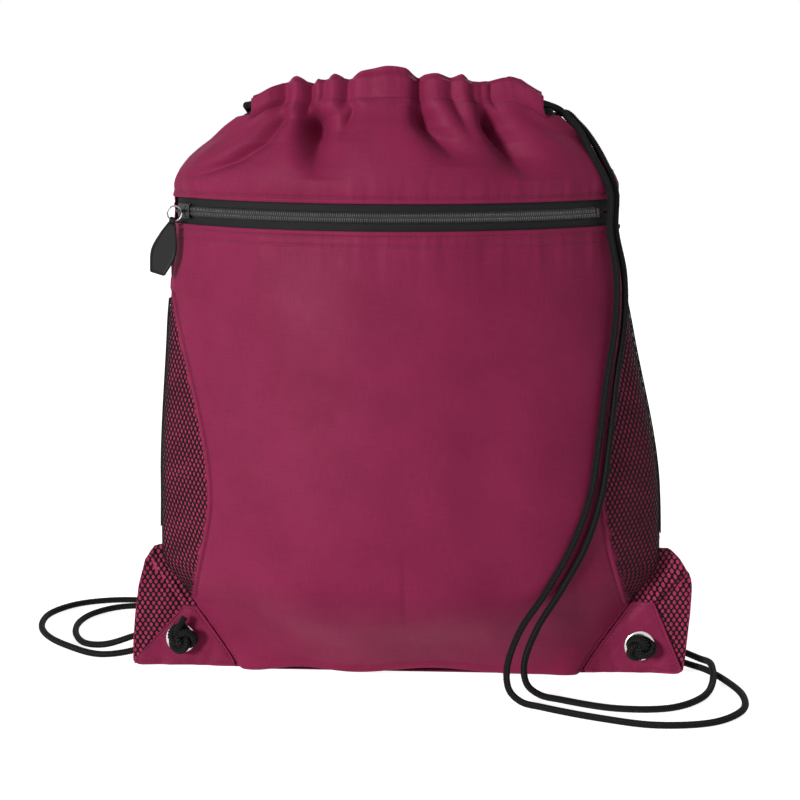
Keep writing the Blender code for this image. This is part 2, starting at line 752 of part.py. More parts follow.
def extruded(name, outline, along, low, high, finish, parent):
    """An outline of places, extruded along one axis from low to high."""
    shaped = bmesh.new()
    axis = Vector(along)
    face = shaped.faces.new([shaped.verts.new(Vector(spot) + axis * low) for spot in outline])
    grown = bmesh.ops.extrude_face_region(shaped, geom=[face])
    moved = [item for item in grown["geom"] if isinstance(item, bmesh.types.BMVert)]
    bmesh.ops.translate(shaped, verts=moved, vec=axis * (high - low))
    bmesh.ops.recalc_face_normals(shaped, faces=shaped.faces)
    mesh = bpy.data.meshes.new(name)
    shaped.to_mesh(mesh)
    shaped.free()
    return add(name, mesh, finish, parent)


RAIL_IN = COIL_FAR + FIT
RAIL_OUT = RAIL_IN + SLIDER_RAIL
PLATE_IN = COIL_OUT + FIT
PLATE_OUT = PLATE_IN + SLIDER_PLATE
UNDER_OUT = TAPE_OUT - TAPE - FIT
UNDER_IN = UNDER_OUT - SLIDER_PLATE
EYE = PLATE_OUT + BRIDGE_EYE / 2


def make_slider(black):
    """A moulded slider: plate with rails over the coils, plate behind the tapes, neck and bridge."""
    carrier = empty("zip_carrier", ZIP_AXIS, Matrix.Rotation(-SLIDER_REST, 4, "Z"))
    rail = TAPE_OUT + FIT
    edge = SLIDER_PLATE / 3
    section = [
        (-RAIL_OUT, rail), (-RAIL_OUT, PLATE_OUT - edge), (-RAIL_OUT + edge, PLATE_OUT),
        (RAIL_OUT - edge, PLATE_OUT), (RAIL_OUT, PLATE_OUT - edge), (RAIL_OUT, rail),
        (RAIL_IN, rail), (RAIL_IN, PLATE_IN), (-RAIL_IN, PLATE_IN), (-RAIL_IN, rail),
    ]
    corners = [(0, -radius, rise) for rise, radius in section]
    half = SLIDER_HALF
    slider = extruded("zip_slider", corners, (1, 0, 0), -half, half, black, carrier)
    under = [(0, -UNDER_IN, -RAIL_OUT), (0, -UNDER_OUT, -RAIL_OUT)]
    under += [(0, -UNDER_OUT, RAIL_OUT), (0, -UNDER_IN, RAIL_OUT)]
    boolean(slider, extruded("slider_under", under, (1, 0, 0), -half, half, None, carrier), "UNION")
    inside, outside = UNDER_OUT - SLIDER_PLATE / 2, PLATE_IN + SLIDER_PLATE / 2
    neck = [(-half, -inside, 0), (SLIDER_NECK_LENGTH - half, -inside, 0)]
    neck += [(SLIDER_NECK_LENGTH - half, -outside, 0), (-half, -outside, 0)]
    web = extruded("slider_neck", neck, (0, 0, 1), -SLIDER_NECK / 2, SLIDER_NECK / 2, None, carrier)
    boolean(slider, web, "UNION")
    foot, top, reach = PLATE_OUT - SLIDER_PLATE / 2, EYE + BRIDGE_EYE / 2, BRIDGE_LENGTH / 2
    hole = reach - BRIDGE_BAR
    arch = [
        (-reach, -foot), (-reach, -top), (-hole, -top - BRIDGE_BAR), (hole, -top - BRIDGE_BAR),
        (reach, -top), (reach, -foot), (hole, -foot), (hole, -top), (-hole, -top), (-hole, -foot),
    ]
    wide = BRIDGE_WIDTH / 2
    arch = [(along, radius, 0) for along, radius in arch]
    boolean(slider, extruded("slider_bridge", arch, (0, 0, 1), -wide, wide, None, carrier), "UNION")
    return carrier


def pull_half_width(share):
    """Half the pull's width, from its neck at 0 to its squared-off end at 1."""
    widths = (PULL_NECK_WIDTH, (PULL_NECK_WIDTH + PULL_WIDTH) / 2 * 1.06, PULL_WIDTH, PULL_END_WIDTH)
    return smooth_through((0.0, 0.24, 0.58, 1.0), widths, share) / 2


def make_pull(black, metal, carrier):
    """The ring in the slider's bridge and the leaf-shaped pull that hangs on it."""
    swing = Matrix.Rotation(SLIDER_REST, 4, "Z") @ Matrix.Rotation(-math.pi / 2, 4, "Z")
    hinge = empty("ring_hinge", (0, -EYE, 0), swing, carrier)
    # In the hinge's frame -Y is the way that the ring stands out, and X is square to its plane.
    out, down = Vector((0, -1, 0)), Vector((0, 0, -1))
    middle = (out * math.cos(RING_DROOP) + down * math.sin(RING_DROOP)) * RING_RADIUS
    wire = []
    for t in spread(0, 2 * math.pi, 21)[:-1]:
        wire.append(middle + (out * math.cos(t) + down * math.sin(t)) * RING_RADIUS)
    ring = tube("pull_ring", wire, RING_WIRE, metal, closed=True)
    ring.parent = hinge
    carrier_of_pull = empty("pull_hinge", middle, None, hinge)
    hang = out * math.sin(PULL_LEAN) + down * math.cos(PULL_LEAN)
    across = out * math.cos(PULL_LEAN) - down * math.sin(PULL_LEAN)
    square = across.cross(hang)
    bow = RING_RADIUS - math.sqrt(RING_RADIUS**2 - (PULL_LOOP_WIDTH / 2) ** 2)
    hole = RING_WIRE / 2 + bow + FIT
    barrel = hole + PULL_LOOP_WALL
    start = RING_RADIUS + hole + PULL_LOOP_WALL / 2

    def spot(side, below, lift):
        return across * side + hang * below + square * lift

    shares = spread(0, 1, 12)
    edge = [(pull_half_width(s), start + s * PULL_LENGTH) for s in shares]
    outline = edge + [(-side, below) for side, below in reversed(edge)]
    shaped = bmesh.new()
    low = [shaped.verts.new(spot(side, below, -PULL_THICK / 2)) for side, below in outline]
    high = [shaped.verts.new(spot(side, below, PULL_THICK / 2)) for side, below in outline]
    faces = [shaped.faces.new(low), shaped.faces.new(list(reversed(high)))]
    for i in range(len(outline)):
        n = (i + 1) % len(outline)
        shaped.faces.new([low[n], low[i], high[i], high[n]])
    bmesh.ops.recalc_face_normals(shaped, faces=shaped.faces)
    for face in faces:
        bmesh.ops.inset_region(
            shaped, faces=[face], thickness=PULL_RIM, depth=0.0, use_even_offset=True
        )
        bmesh.ops.translate(shaped, verts=face.verts, vec=-face.normal * PULL_RECESS)
    mesh = bpy.data.meshes.new("pull_tab")
    shaped.to_mesh(mesh)
    shaped.free()
    pull = add("pull_tab", mesh, black, carrier_of_pull)
    half = PULL_LOOP_WIDTH / 2
    centre = hang * RING_RADIUS
    for name, radius, reach, operation in (
        ("pull_loop", barrel, half, "UNION"), ("pull_loop_hole", hole, half * 1.5, "DIFFERENCE"),
    ):
        round_it = [centre + (hang * math.cos(a) + square * math.sin(a)) * radius
                    for a in spread(0, 2 * math.pi, 17)[:-1]]
        tool = extruded(name, round_it, across, -reach, reach, None, carrier_of_pull)
        boolean(pull, tool, operation)


# The free strands

def strand_ends(side, hand):
    """Where one side's two strands leave the casing and where they reach the legs of the knot."""
    run, rise = hand * casing_end(), hand * CORD_SPACING / 2
    for name, facing in (("front", -1), ("back", 1)):
        spot = hand * facing * LEG_APART
        exit_place = casing_path(run, rise, facing)
        onward = casing_path(run + hand * 0.02, rise, facing) - exit_place
        knot = Vector((hand * GROMMET_X, LEG_END + CORD_END_GAP, GROMMET_HEIGHT + spot))
        yield f"{side}_strand_{name}", exit_place + onward.normalized() * CORD_END_GAP, knot


FLOOR = CORD / 2 + FIT
STRAND_ROUTES = {
    "right_strand_front": [
        (0.0862, -0.0048, 0.3582), (0.0949, -0.0086, 0.3460), (0.1013, -0.0137, 0.3314),
        (0.1103, -0.0158, 0.3160), (0.1190, -0.0160, 0.2990), (0.1195, -0.0150, 0.2760),
        (0.1238, -0.0166, 0.2500), (0.1234, -0.0245, 0.2220), (0.1185, -0.0341, 0.1900),
        (0.1143, -0.0424, 0.1550), (0.1092, -0.0485, 0.1220), (0.0983, -0.0530, 0.0920),
        (0.0833, -0.0560, 0.0650), (0.0687, -0.0605, 0.0430), (0.0615, -0.0655, 0.0220),
        (0.0630, -0.0690, 0.0100), (0.0700, -0.0720, 0.0040), (0.0820, -0.0765, FLOOR),
        (0.1149, -0.0954, FLOOR), (0.1468, -0.1066, FLOOR), (0.1790, -0.0998, FLOOR),
        (0.1980, -0.0760, FLOOR), (0.2013, -0.0470, FLOOR), (0.1938, -0.0162, FLOOR),
        (0.1830, 0.0080, FLOOR), (0.1700, 0.0200, 0.0035), (0.1560, 0.0240, 0.0090),
        (0.1460, 0.0200, 0.0150), (0.1422, 0.0125, 0.0171),
    ],
    "right_strand_back": [
        (0.0865, 0.0037, 0.3545), (0.0976, -0.0017, 0.3443), (0.1059, -0.0062, 0.3321),
        (0.1146, -0.0086, 0.3179), (0.1225, -0.0110, 0.2990), (0.1230, -0.0105, 0.2760),
        (0.1283, -0.0111, 0.2500), (0.1287, -0.0190, 0.2220), (0.1244, -0.0291, 0.1900),
        (0.1207, -0.0379, 0.1550), (0.1162, -0.0440, 0.1220), (0.1068, -0.0485, 0.0920),
        (0.0923, -0.0515, 0.0650), (0.0787, -0.0550, 0.0430), (0.0715, -0.0575, 0.0220),
        (0.0735, -0.0575, 0.0100), (0.0810, -0.0575, 0.0040), (0.0930, -0.0610, FLOOR),
        (0.1257, -0.0764, FLOOR), (0.1560, -0.0740, FLOOR), (0.1760, -0.0530, FLOOR),
        (0.1850, -0.0250, 0.0035), (0.1862, 0.0020, 0.0074), (0.1800, 0.0280, 0.0040),
        (0.1670, 0.0420, 0.0060), (0.1530, 0.0380, 0.0140), (0.1450, 0.0260, 0.0200),
        (0.1422, 0.0130, 0.0216),
    ],
    "left_strand_front": [
        (-0.1033, -0.0045, 0.3527), (-0.1146, 0.0010, 0.3421), (-0.1226, 0.0062, 0.3300),
        (-0.1316, 0.0086, 0.3171), (-0.1395, 0.0110, 0.2990), (-0.1400, 0.0105, 0.2760),
        (-0.1445, 0.0111, 0.2500), (-0.1427, 0.0190, 0.2220), (-0.1336, 0.0291, 0.1900),
        (-0.1250, 0.0379, 0.1550), (-0.1173, 0.0440, 0.1220), (-0.1072, 0.0485, 0.0920),
        (-0.0927, 0.0515, 0.0650), (-0.0793, 0.0555, 0.0430), (-0.0740, 0.0600, 0.0220),
        (-0.0770, 0.0670, 0.0090), (-0.0860, 0.0770, 0.0035), (-0.1080, 0.0990, FLOOR),
        (-0.1420, 0.1240, FLOOR), (-0.1780, 0.1390, FLOOR), (-0.2050, 0.1370, FLOOR),
        (-0.2210, 0.1200, FLOOR), (-0.2270, 0.0950, FLOOR), (-0.2230, 0.0650, FLOOR),
        (-0.2110, 0.0390, 0.0035), (-0.1930, 0.0220, 0.0082), (-0.1740, 0.0195, 0.0150),
        (-0.1570, 0.0235, 0.0195), (-0.1460, 0.0195, 0.0212), (-0.1422, 0.0125, 0.0217),
    ],
    "left_strand_back": [
        (-0.1033, 0.0049, 0.3484), (-0.1124, 0.0085, 0.3402), (-0.1186, 0.0137, 0.3278),
        (-0.1275, 0.0159, 0.3145), (-0.1360, 0.0160, 0.2990), (-0.1365, 0.0150, 0.2760),
        (-0.1403, 0.0166, 0.2500), (-0.1374, 0.0245, 0.2220), (-0.1278, 0.0341, 0.1900),
        (-0.1186, 0.0424, 0.1550), (-0.1103, 0.0485, 0.1220), (-0.0987, 0.0530, 0.0920),
        (-0.0837, 0.0560, 0.0650), (-0.0693, 0.0605, 0.0430), (-0.0640, 0.0660, 0.0220),
        (-0.0670, 0.0750, 0.0090), (-0.0770, 0.0860, 0.0035), (-0.1000, 0.1080, FLOOR),
        (-0.1350, 0.1340, FLOOR), (-0.1750, 0.1510, FLOOR), (-0.2110, 0.1550, FLOOR),
        (-0.2370, 0.1430, FLOOR), (-0.2510, 0.1180, FLOOR), (-0.2510, 0.0880, FLOOR),
        (-0.2420, 0.0620, FLOOR), (-0.2240, 0.0380, FLOOR), (-0.1970, 0.0180, FLOOR),
        (-0.1760, 0.0175, 0.0055), (-0.1590, 0.0225, 0.0110), (-0.1465, 0.0200, 0.0155),
        (-0.1422, 0.0125, 0.0170),
    ],
}


def make_strands(black):
    for side, hand in (("left", -1), ("right", 1)):
        for name, start, end in strand_ends(side, hand):
            route = [start, *map(Vector, STRAND_ROUTES[name]), end]
            tube(name, smooth_route(route, CORD_STEP), CORD, black)


for old in list(bpy.data.objects):
    bpy.data.objects.remove(old)

MAROON_CLOTH = material("maroon_cloth", MAROON, 0.55)
BLACK_NET = material("black_net", BLACK, 0.70)
BLACK_TAPE = material("black_tape", BLACK, 0.80)
BLACK_CORD = material("black_cord", BLACK, 0.60)
BLACK_MOULDING = material("black_moulding", BLACK, 0.45)
NICKEL_PLATE = material("nickel_plate", NICKEL, 0.25, 1.0)
DARK_WIRE = material("dark_wire", GUNMETAL, 0.35, 1.0)

make_panels(MAROON_CLOTH)
make_sides(MAROON_CLOTH, BLACK_NET, BLACK_TAPE)
make_corners(MAROON_CLOTH, BLACK_NET, NICKEL_PLATE)
make_casing(MAROON_CLOTH)
make_casing_cords(BLACK_CORD)
make_knots(BLACK_CORD)
make_zip(BLACK_TAPE)
make_pull(BLACK_MOULDING, DARK_WIRE, make_slider(BLACK_MOULDING))
make_strands(BLACK_CORD)
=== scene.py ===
import math

import bmesh
import bpy
import numpy as np
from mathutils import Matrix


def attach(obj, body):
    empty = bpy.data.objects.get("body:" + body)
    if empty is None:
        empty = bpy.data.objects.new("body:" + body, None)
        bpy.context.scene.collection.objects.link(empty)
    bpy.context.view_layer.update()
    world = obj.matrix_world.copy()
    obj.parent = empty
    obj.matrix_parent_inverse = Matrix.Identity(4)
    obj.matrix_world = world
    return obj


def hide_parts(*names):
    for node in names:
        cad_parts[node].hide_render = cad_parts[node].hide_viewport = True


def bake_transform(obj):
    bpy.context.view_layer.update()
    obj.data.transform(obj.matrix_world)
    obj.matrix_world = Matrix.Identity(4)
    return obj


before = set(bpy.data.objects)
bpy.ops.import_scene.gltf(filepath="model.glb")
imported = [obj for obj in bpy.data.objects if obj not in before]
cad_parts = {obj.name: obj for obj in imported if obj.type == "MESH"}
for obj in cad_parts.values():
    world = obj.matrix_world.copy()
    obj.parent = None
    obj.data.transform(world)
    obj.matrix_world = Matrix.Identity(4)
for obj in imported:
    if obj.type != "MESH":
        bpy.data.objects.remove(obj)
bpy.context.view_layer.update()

# Back panel: one length of woven nylon from the mouth down to and under the base. It hangs from
# the casing and is filled out by what is in the bag, so each level of it is a rounded lens.
LEVELS = np.array([  # height, half width, half depth, radius of the side corners
    (0.0000, 0.1040, 0.0220, 0.0055), (0.0160, 0.1140, 0.0430, 0.0055), (0.0450, 0.1340, 0.0640, 0.0060),
    (0.0750, 0.1530, 0.0720, 0.0120), (0.1200, 0.1520, 0.0760, 0.0240), (0.2150, 0.1405, 0.0740, 0.0220),
    (0.2720, 0.1335, 0.0660, 0.0080), (0.3000, 0.1335, 0.0660, 0.0080), (0.3267, 0.1160, 0.0530, 0.0100),
    (0.3417, 0.1010, 0.0390, 0.0120), (0.3475, 0.0930, 0.0290, 0.0120),
])
ZIP_FOOT, ZIP_HEAD, MOUTH = 0.2720, 0.3000, 0.3475
FLOOR_ROUND = 0.004
BAG_LEAN, LEAN_START = -0.0085, 0.100
DRAWN_IN, DRAW_START, DRAW_WIDTH = 0.0075, 0.316, 0.045
MOUTH_SLOPE = math.tan(math.radians(18))
CLOTH, YARN, SEAM = 0.0006, 0.00055, 0.0002
HALF_CUT, UNDER_CUT = 0.178, 0.05
BASE_ROWS, EDGE_ROWS = 10, 8
# DEEP_MAROON is the cloth's darker colour, used in random patches and as painted shade between the threads.
MAROON, DEEP_MAROON = (0.247, 0.0198, 0.0705), (0.188, 0.0138, 0.0515)


def ease(t):
    """0 up to 0, 1 from 1 on, and 3t^2 - 2t^3 between."""
    t = np.clip(t, 0.0, 1.0)
    return t * t * (3 - 2 * t)


def through(places, values, at):
    """A curve through the values that never overshoots: cubic pieces, level at each high and low value,
    and elsewhere sloped by the weighted harmonic mean of the slopes on either side."""
    places, values, at = (np.asarray(a, float) for a in (places, values, at))
    steps = np.diff(places)
    slopes = np.diff(values) / steps
    before, after = slopes[:-1], slopes[1:]
    wide, near = 2 * steps[1:] + steps[:-1], steps[1:] + 2 * steps[:-1]
    same = before * after > 0
    mean = (wide + near) / (wide / np.where(same, before, 1) + near / np.where(same, after, 1))
    bends = np.concatenate([slopes[:1], np.where(same, mean, 0), slopes[-1:]])
    at = np.clip(at, places[0], places[-1])
    i = np.clip(np.searchsorted(places, at, side="right") - 1, 0, len(steps) - 1)
    t = (at - places[i]) / steps[i]
    rest = 1 - t
    curve = values[i] * (1 + 2 * t) * rest**2 + values[i + 1] * t**2 * (3 - 2 * t)
    return curve + steps[i] * t * rest * (bends[i] * rest - bends[i + 1] * t)


def level(height):
    """The lens at a height: front and back arcs of radius arc about points that far behind the middle,
    joined at half_width - side by corners of radius side. front and half are runs along the outline."""
    height = np.maximum(height, FLOOR_ROUND)
    half_width, half_depth, side = (through(LEVELS[:, 0], LEVELS[:, k], height) for k in (1, 2, 3))
    lens, sag = half_width - side, half_depth - side
    arc = (lens**2 + sag**2) / (2 * sag)
    turn = np.arctan2(lens, arc - sag)
    front = turn * (arc + side)
    return dict(side=side, lens=lens, arc=arc, behind=arc - sag, turn=turn, front=front,
                half=front + side * (np.pi / 2 - turn), half_width=half_width)


def settled(x, y, height):
    """The bag's lean to one side from LEAN_START up, its mouth tipped back above the zip, and the left
    end of the mouth drawn in."""
    lean = BAG_LEAN * ease((height - LEAN_START) / (ZIP_FOOT - LEAN_START))
    drawn = DRAWN_IN * ease((height - DRAW_START) / (MOUTH - DRAW_START))
    lean = lean + drawn * ease((-x - DRAW_WIDTH) / DRAW_WIDTH)
    tip = MOUTH_SLOPE * ease((height - ZIP_HEAD) / (MOUTH - ZIP_HEAD))
    return np.stack([x + lean, y, height - y * tip], -1)


def on_bag(run, height, out=0.0, facing=-1):
    """Places a run from the middle along the outline at each height, moved out square to the outline.
    facing is -1 on the front and 1 at the back."""
    run, height, out = np.broadcast_arrays(run, height, out)
    at, far = level(height), np.abs(run)
    front = far <= at["front"]
    radius = np.where(front, at["arc"] + at["side"], at["side"])
    angle = np.where(front, far / radius, at["turn"] + (far - at["front"]) / at["side"])
    x = np.sign(run) * (np.where(front, 0, at["lens"]) + (radius + out) * np.sin(angle))
    y = facing * ((radius + out) * np.cos(angle) - np.where(front, at["behind"], 0))
    return settled(x, y, height)


def under_bag(shares, reach, facing=-1):
    """The rows under the bag: from the seam along the middle of the base, whose gap closes a little to its
    ends, out to the round edge, then up a quarter circle of radius FLOOR_ROUND to the wall. reach is the
    share of the half outline covered."""
    flat, swing = np.linspace(0, 1, BASE_ROWS), np.radians(np.linspace(90, 10, EDGE_ROWS))[1:]
    inset = np.concatenate([np.full(BASE_ROWS, FLOOR_ROUND), FLOOR_ROUND * (1 - np.cos(swing))])
    rise = np.concatenate([np.zeros(BASE_ROWS), FLOOR_ROUND * (1 - np.sin(swing))])
    inward = np.concatenate([flat, np.ones(EDGE_ROWS - 1)])
    shrink = np.concatenate([0.92 + 0.08 * flat, np.ones(EDGE_ROWS - 1)])
    run = shares * reach * level(FLOOR_ROUND)["half"]
    edge = on_bag(run[None, :], np.full((len(inset), 1), FLOOR_ROUND), -inset[:, None], facing)
    seam = SEAM * (1 - 0.5 * np.abs(shares) ** 6)
    y = facing * (seam + np.maximum(np.abs(edge[..., 1]) - seam, 0) * inward[:, None])
    return np.stack([edge[..., 0] * shrink[:, None], y, np.broadcast_to(rise[:, None], y.shape)], -1)


def under_chart(across, rows):
    """The places of those rows on the uncut cloth, which go on below the wall's."""
    return np.stack(np.broadcast_arrays(across, np.linspace(-UNDER_CUT, 0, rows)[:, None]), -1)


def ripple(x, pitch, phase):
    """Uneven waves about that far apart, from -1 to 1: three sines whose pitches don't share a multiple."""
    turn = 2 * np.pi * x / pitch + phase
    return 0.5 * np.sin(turn) + 0.3 * np.sin(1.618 * turn + 1.3) + 0.2 * np.sin(2.75 * turn + 2.1)


def grid_mesh(name, points, flat=None, flip=False, ring=False, caps=False, loop=False):
    """Points in rows and columns joined up as four-sided faces. flat holds each point's place on the
    uncut cloth in metres, which becomes the UV map. ring joins the last column to the first, loop the
    last row to the first, and caps closes the first and last rows of a ring with one face each."""
    rows, columns = points.shape[:2]
    index = np.arange(rows * columns).reshape(rows, columns)
    ends = [index[0, ::-1].tolist(), index[-1].tolist()] if caps else []
    index = np.hstack([index, index[:, :1]]) if ring else index
    index = np.vstack([index, index[:1]]) if loop else index
    faces = np.stack([index[:-1, :-1], index[:-1, 1:], index[1:, 1:], index[1:, :-1]], -1).reshape(-1, 4)
    faces = faces.tolist() + ends
    mesh = bpy.data.meshes.new(name)
    mesh.from_pydata(points.reshape(-1, 3).tolist(), [], [face[::-1] for face in faces] if flip else faces)
    if flat is not None:
        corners = np.empty(len(mesh.loops), np.int32)
        mesh.loops.foreach_get("vertex_index", corners)
        chart = flat.reshape(-1, 2)[corners].astype(np.float32)
        mesh.uv_layers.new(name="flat").data.foreach_set("uv", chart.ravel())
    mesh.shade_smooth()
    return mesh


def add(name, mesh, finish, body="bag", stands_for=()):
    """Puts a piece into the scene with its finish, on the body that carries it."""
    piece = bpy.data.objects.new(name, mesh)
    bpy.context.scene.collection.objects.link(piece)
    mesh.materials.append(finish)
    if body:
        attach(piece, body)
    if stands_for:
        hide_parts(*stands_for)
    return piece


def thicken(piece, thickness=CLOTH):
    """Gives a sheet its thickness, inwards from the modelled face."""
    wall = piece.modifiers.new("thickness", "SOLIDIFY")
    wall.thickness = thickness
    wall.offset = -1
    return piece


def node(tree, kind, inputs=(), **settings):
    """A shader node with its settings and its inputs, each of them a value or another node's output."""
    made = tree.nodes.new("ShaderNode" + kind)
    for name, value in settings.items():
        setattr(made, name, value)
    for socket, value in dict(inputs).items():
        if isinstance(value, bpy.types.NodeSocket):
            tree.links.new(value, made.inputs[socket])
        else:
            made.inputs[socket].default_value = value
    return made


def work_out(tree, operation, a, b=0.0, c=0.0):
    """One step of arithmetic on shader values."""
    return node(tree, "Math", {0: a, 1: b, 2: c}, operation=operation).outputs[0]


def new_group(name, inputs, outputs):
    """An empty shader group with its sockets, as (tree, its inputs, its output node)."""
    tree = bpy.data.node_groups.new(name, "ShaderNodeTree")
    for title, kind in inputs:
        tree.interface.new_socket(title, in_out="INPUT", socket_type="NodeSocket" + kind)
    for title, kind in outputs:
        tree.interface.new_socket(title, in_out="OUTPUT", socket_type="NodeSocket" + kind)
    return tree, tree.nodes.new("NodeGroupInput").outputs, tree.nodes.new("NodeGroupOutput")


def plain_weave():
    """Plain weave: height is sin(pi u/yarn) sin(pi v/yarn), so that threads pass over and under by turns,
    with thicker and thinner threads from noise drawn out along them. The colour's tone varies in cloudy
    patches, and is also a little darker where the weave is low, which is painted shade between the threads."""
    tree, given, out = new_group(
        "plain_weave", [("Flat", "Vector"), ("Yarn", "Float")], [("Height", "Float"), ("Tone_and_Shade", "Float")]
    )
    part = node(tree, "SeparateXYZ", {0: given["Flat"]}).outputs
    pitch = work_out(tree, "DIVIDE", math.pi, given["Yarn"])
    across = work_out(tree, "SINE", work_out(tree, "MULTIPLY", part[0], pitch))
    along = work_out(tree, "SINE", work_out(tree, "MULTIPLY", part[1], pitch))
    cross = work_out(tree, "MULTIPLY", across, along)
    slubs = [
        node(tree, "TexNoise", {
            "Vector": node(tree, "Mapping", {"Vector": given["Flat"], "Scale": scale}).outputs[0],
            "Scale": 1.0, "Detail": 1.0,
        }).outputs["Fac"]
        for scale in ((90, 1500, 1), (1500, 90, 1))
    ]
    slub = work_out(tree, "ADD", *slubs)
    cloud = node(tree, "TexNoise", {"Vector": given["Flat"], "Scale": 24.0, "Detail": 3.0}).outputs["Fac"]
    tree.links.new(work_out(tree, "MULTIPLY_ADD", cross, 0.35, slub), out.inputs["Height"])
    tone = work_out(tree, "MULTIPLY_ADD", work_out(tree, "SUBTRACT", slub, 1.0), 0.45, cloud)
    # the weave's height darkens the colour in its dips: painted shade between the threads
    tree.links.new(work_out(tree, "MULTIPLY_ADD", cross, 0.10, tone), out.inputs["Tone_and_Shade"])
    return tree


WEAVE = plain_weave()


def finish_of(name, roughness, metallic=0.0):
    """A new material, as (material, its tree, its Principled shader)."""
    made = bpy.data.materials.new(name)
    made.use_nodes = True
    shader = made.node_tree.nodes["Principled BSDF"]
    shader.inputs["Roughness"].default_value = roughness
    shader.inputs["Metallic"].default_value = metallic
    return made, made.node_tree, shader


def tint(tree, shader, mask, dark, light):
    """Base colour from dark to light as the mask goes from 0 to 1."""
    colour = node(tree, "Mix", {0: mask, 6: (*dark, 1), 7: (*light, 1)}, data_type="RGBA").outputs[2]
    tree.links.new(colour, shader.inputs["Base Color"])


def relief(tree, shader, height, strength, distance):
    """The finish's fine relief, as a bump of that distance for a height of 1."""
    bump = node(tree, "Bump", {"Strength": strength, "Distance": distance, "Height": height}).outputs[0]
    tree.links.new(bump, shader.inputs["Normal"])


def dulled(tree, shader, mask, low, high, start=0.0, end=1.0):
    """Roughness from low to high as the mask goes from start to end."""
    rough = node(tree, "MapRange", {"Value": mask, 1: start, 2: end, 3: low, 4: high}).outputs[0]
    tree.links.new(rough, shader.inputs["Roughness"])


def nylon(name, light, dark, sheen=0.03):
    """Dyed nylon: a soft shine over a fine plain weave, with painted shade that darkens it between the
    threads.
    """
    made, tree, shader = finish_of(name, 0.5)
    chart = node(tree, "UVMap", uv_map="flat").outputs[0]
    weave = node(tree, "Group", node_tree=WEAVE)
    tree.links.new(chart, weave.inputs["Flat"])
    weave.inputs["Yarn"].default_value = YARN
    tone = node(tree, "MapRange", {"Value": weave.outputs["Tone_and_Shade"], 1: 0.2, 2: 0.8}).outputs[0]
    # the darker colour goes into random patches, and into the weave's dips as painted shade
    tint(tree, shader, tone, dark, light)
    dulled(tree, shader, weave.outputs["Tone_and_Shade"], 0.62, 0.46)
    relief(tree, shader, weave.outputs["Height"], 0.35, 0.00012)
    shader.inputs["Specular IOR Level"].default_value = 0.08
    shader.inputs["Sheen Weight"].default_value = sheen
    shader.inputs["Sheen Roughness"].default_value = 0.45
    shader.inputs["Sheen Tint"].default_value = (0.95, 0.55, 0.68, 1)
    return made


MAROON_NYLON = nylon("maroon_nylon", MAROON, DEEP_MAROON)
MOUTH_DROP, LEFT_DROP, RIGHT_DROP, SAG_START = 0.0050, 0.0105, 0.0095, 0.306
GATHER, MOUTH_OUT, BACK_START = 0.0046, 0.0020, 0.262


def drop(share):
    """How far the drawn mouth sags: its middle between the cords' two ends, and its corners outside."""
    middle = 1 - ease((np.abs(share) - 0.45) / 0.42)
    left, right = ease((-share - 0.56) / 0.32), ease((share - 0.62) / 0.26)
    return MOUTH_DROP * middle + LEFT_DROP * left + RIGHT_DROP * right


def hung(share, height):
    """Heights above the zip lowered by the sag of the mouth, all of it at the mouth and none at the zip."""
    return height - drop(share) * ease((height - SAG_START) / (MOUTH - SAG_START))


def gathers(share, pleats):
    """How the drawn cord gathers the cloth: 0 in each notch and up to 1 on each ruffle between them,
    with the notches narrow and the ruffles broad. pleats holds (share, fullness) in order."""
    places, fullness = np.array(pleats).T
    return np.clip(through(places, fullness, share), 0, 1) ** 0.65


BACK_PLEATS = [  # share of the way along the mouth, fullness
    (-1.00, 0.2), (-0.86, 0.9), (-0.76, 0.0), (-0.64, 1.0), (-0.53, 0.1), (-0.42, 0.8), (-0.33, 0.0),
    (-0.20, 1.0), (-0.08, 0.0), (0.03, 0.7), (0.11, 0.1), (0.24, 1.0), (0.36, 0.0), (0.47, 0.9),
    (0.57, 0.1), (0.66, 0.7), (0.74, 0.0), (0.86, 0.9), (1.00, 0.2),
]


def back_shape(share, height):
    """Out from the form: gathers that fade down the panel, broad slack folds, and puckers on the seams."""
    up = ease((height - BACK_START) / (MOUTH - BACK_START))
    fold = (gathers(share, BACK_PLEATS) * GATHER + MOUTH_OUT) * up**1.6
    slack = 0.0011 * ripple(share + 0.6 * height, 0.62, 0.4) * ease(height / 0.06)
    crease = 0.0016 * ripple(share * 0.5 + height * 2.4, 0.43, 2.0) * ease((0.10 - height) / 0.09)
    seam = (1 - np.abs(share)) * 0.16
    pucker = 0.0004 * ripple(height, 0.0072, 1.0) * np.exp(-seam / 0.006)
    calm = ease(seam / 0.010)
    return (fold + slack + crease * ease(height / 0.02)) * calm + pucker


shares = np.sin(np.linspace(-1, 1, 181) * np.pi / 2) * 0.75 + np.linspace(-1, 1, 181) * 0.25
heights = np.concatenate([np.linspace(FLOOR_ROUND, 0.26, 96), np.linspace(0.263, MOUTH, 56)])
share, height = np.meshgrid(shares, heights)
reach = level(height)["half"] - SEAM
wall = on_bag(share * reach, hung(share, height), back_shape(share, height), facing=1)
under = under_bag(shares, 1 - SEAM / level(FLOOR_ROUND)["half"], facing=1)
cut = np.stack([share * HALF_CUT, height], -1)
under_cut = under_chart(shares * HALF_CUT, len(under))
back = add(
    "back_cloth",
    grid_mesh("back_cloth", np.concatenate([under, wall]), np.concatenate([under_cut, cut]), flip=True),
    MAROON_NYLON, stands_for=["back_panel"],
)
thicken(back)

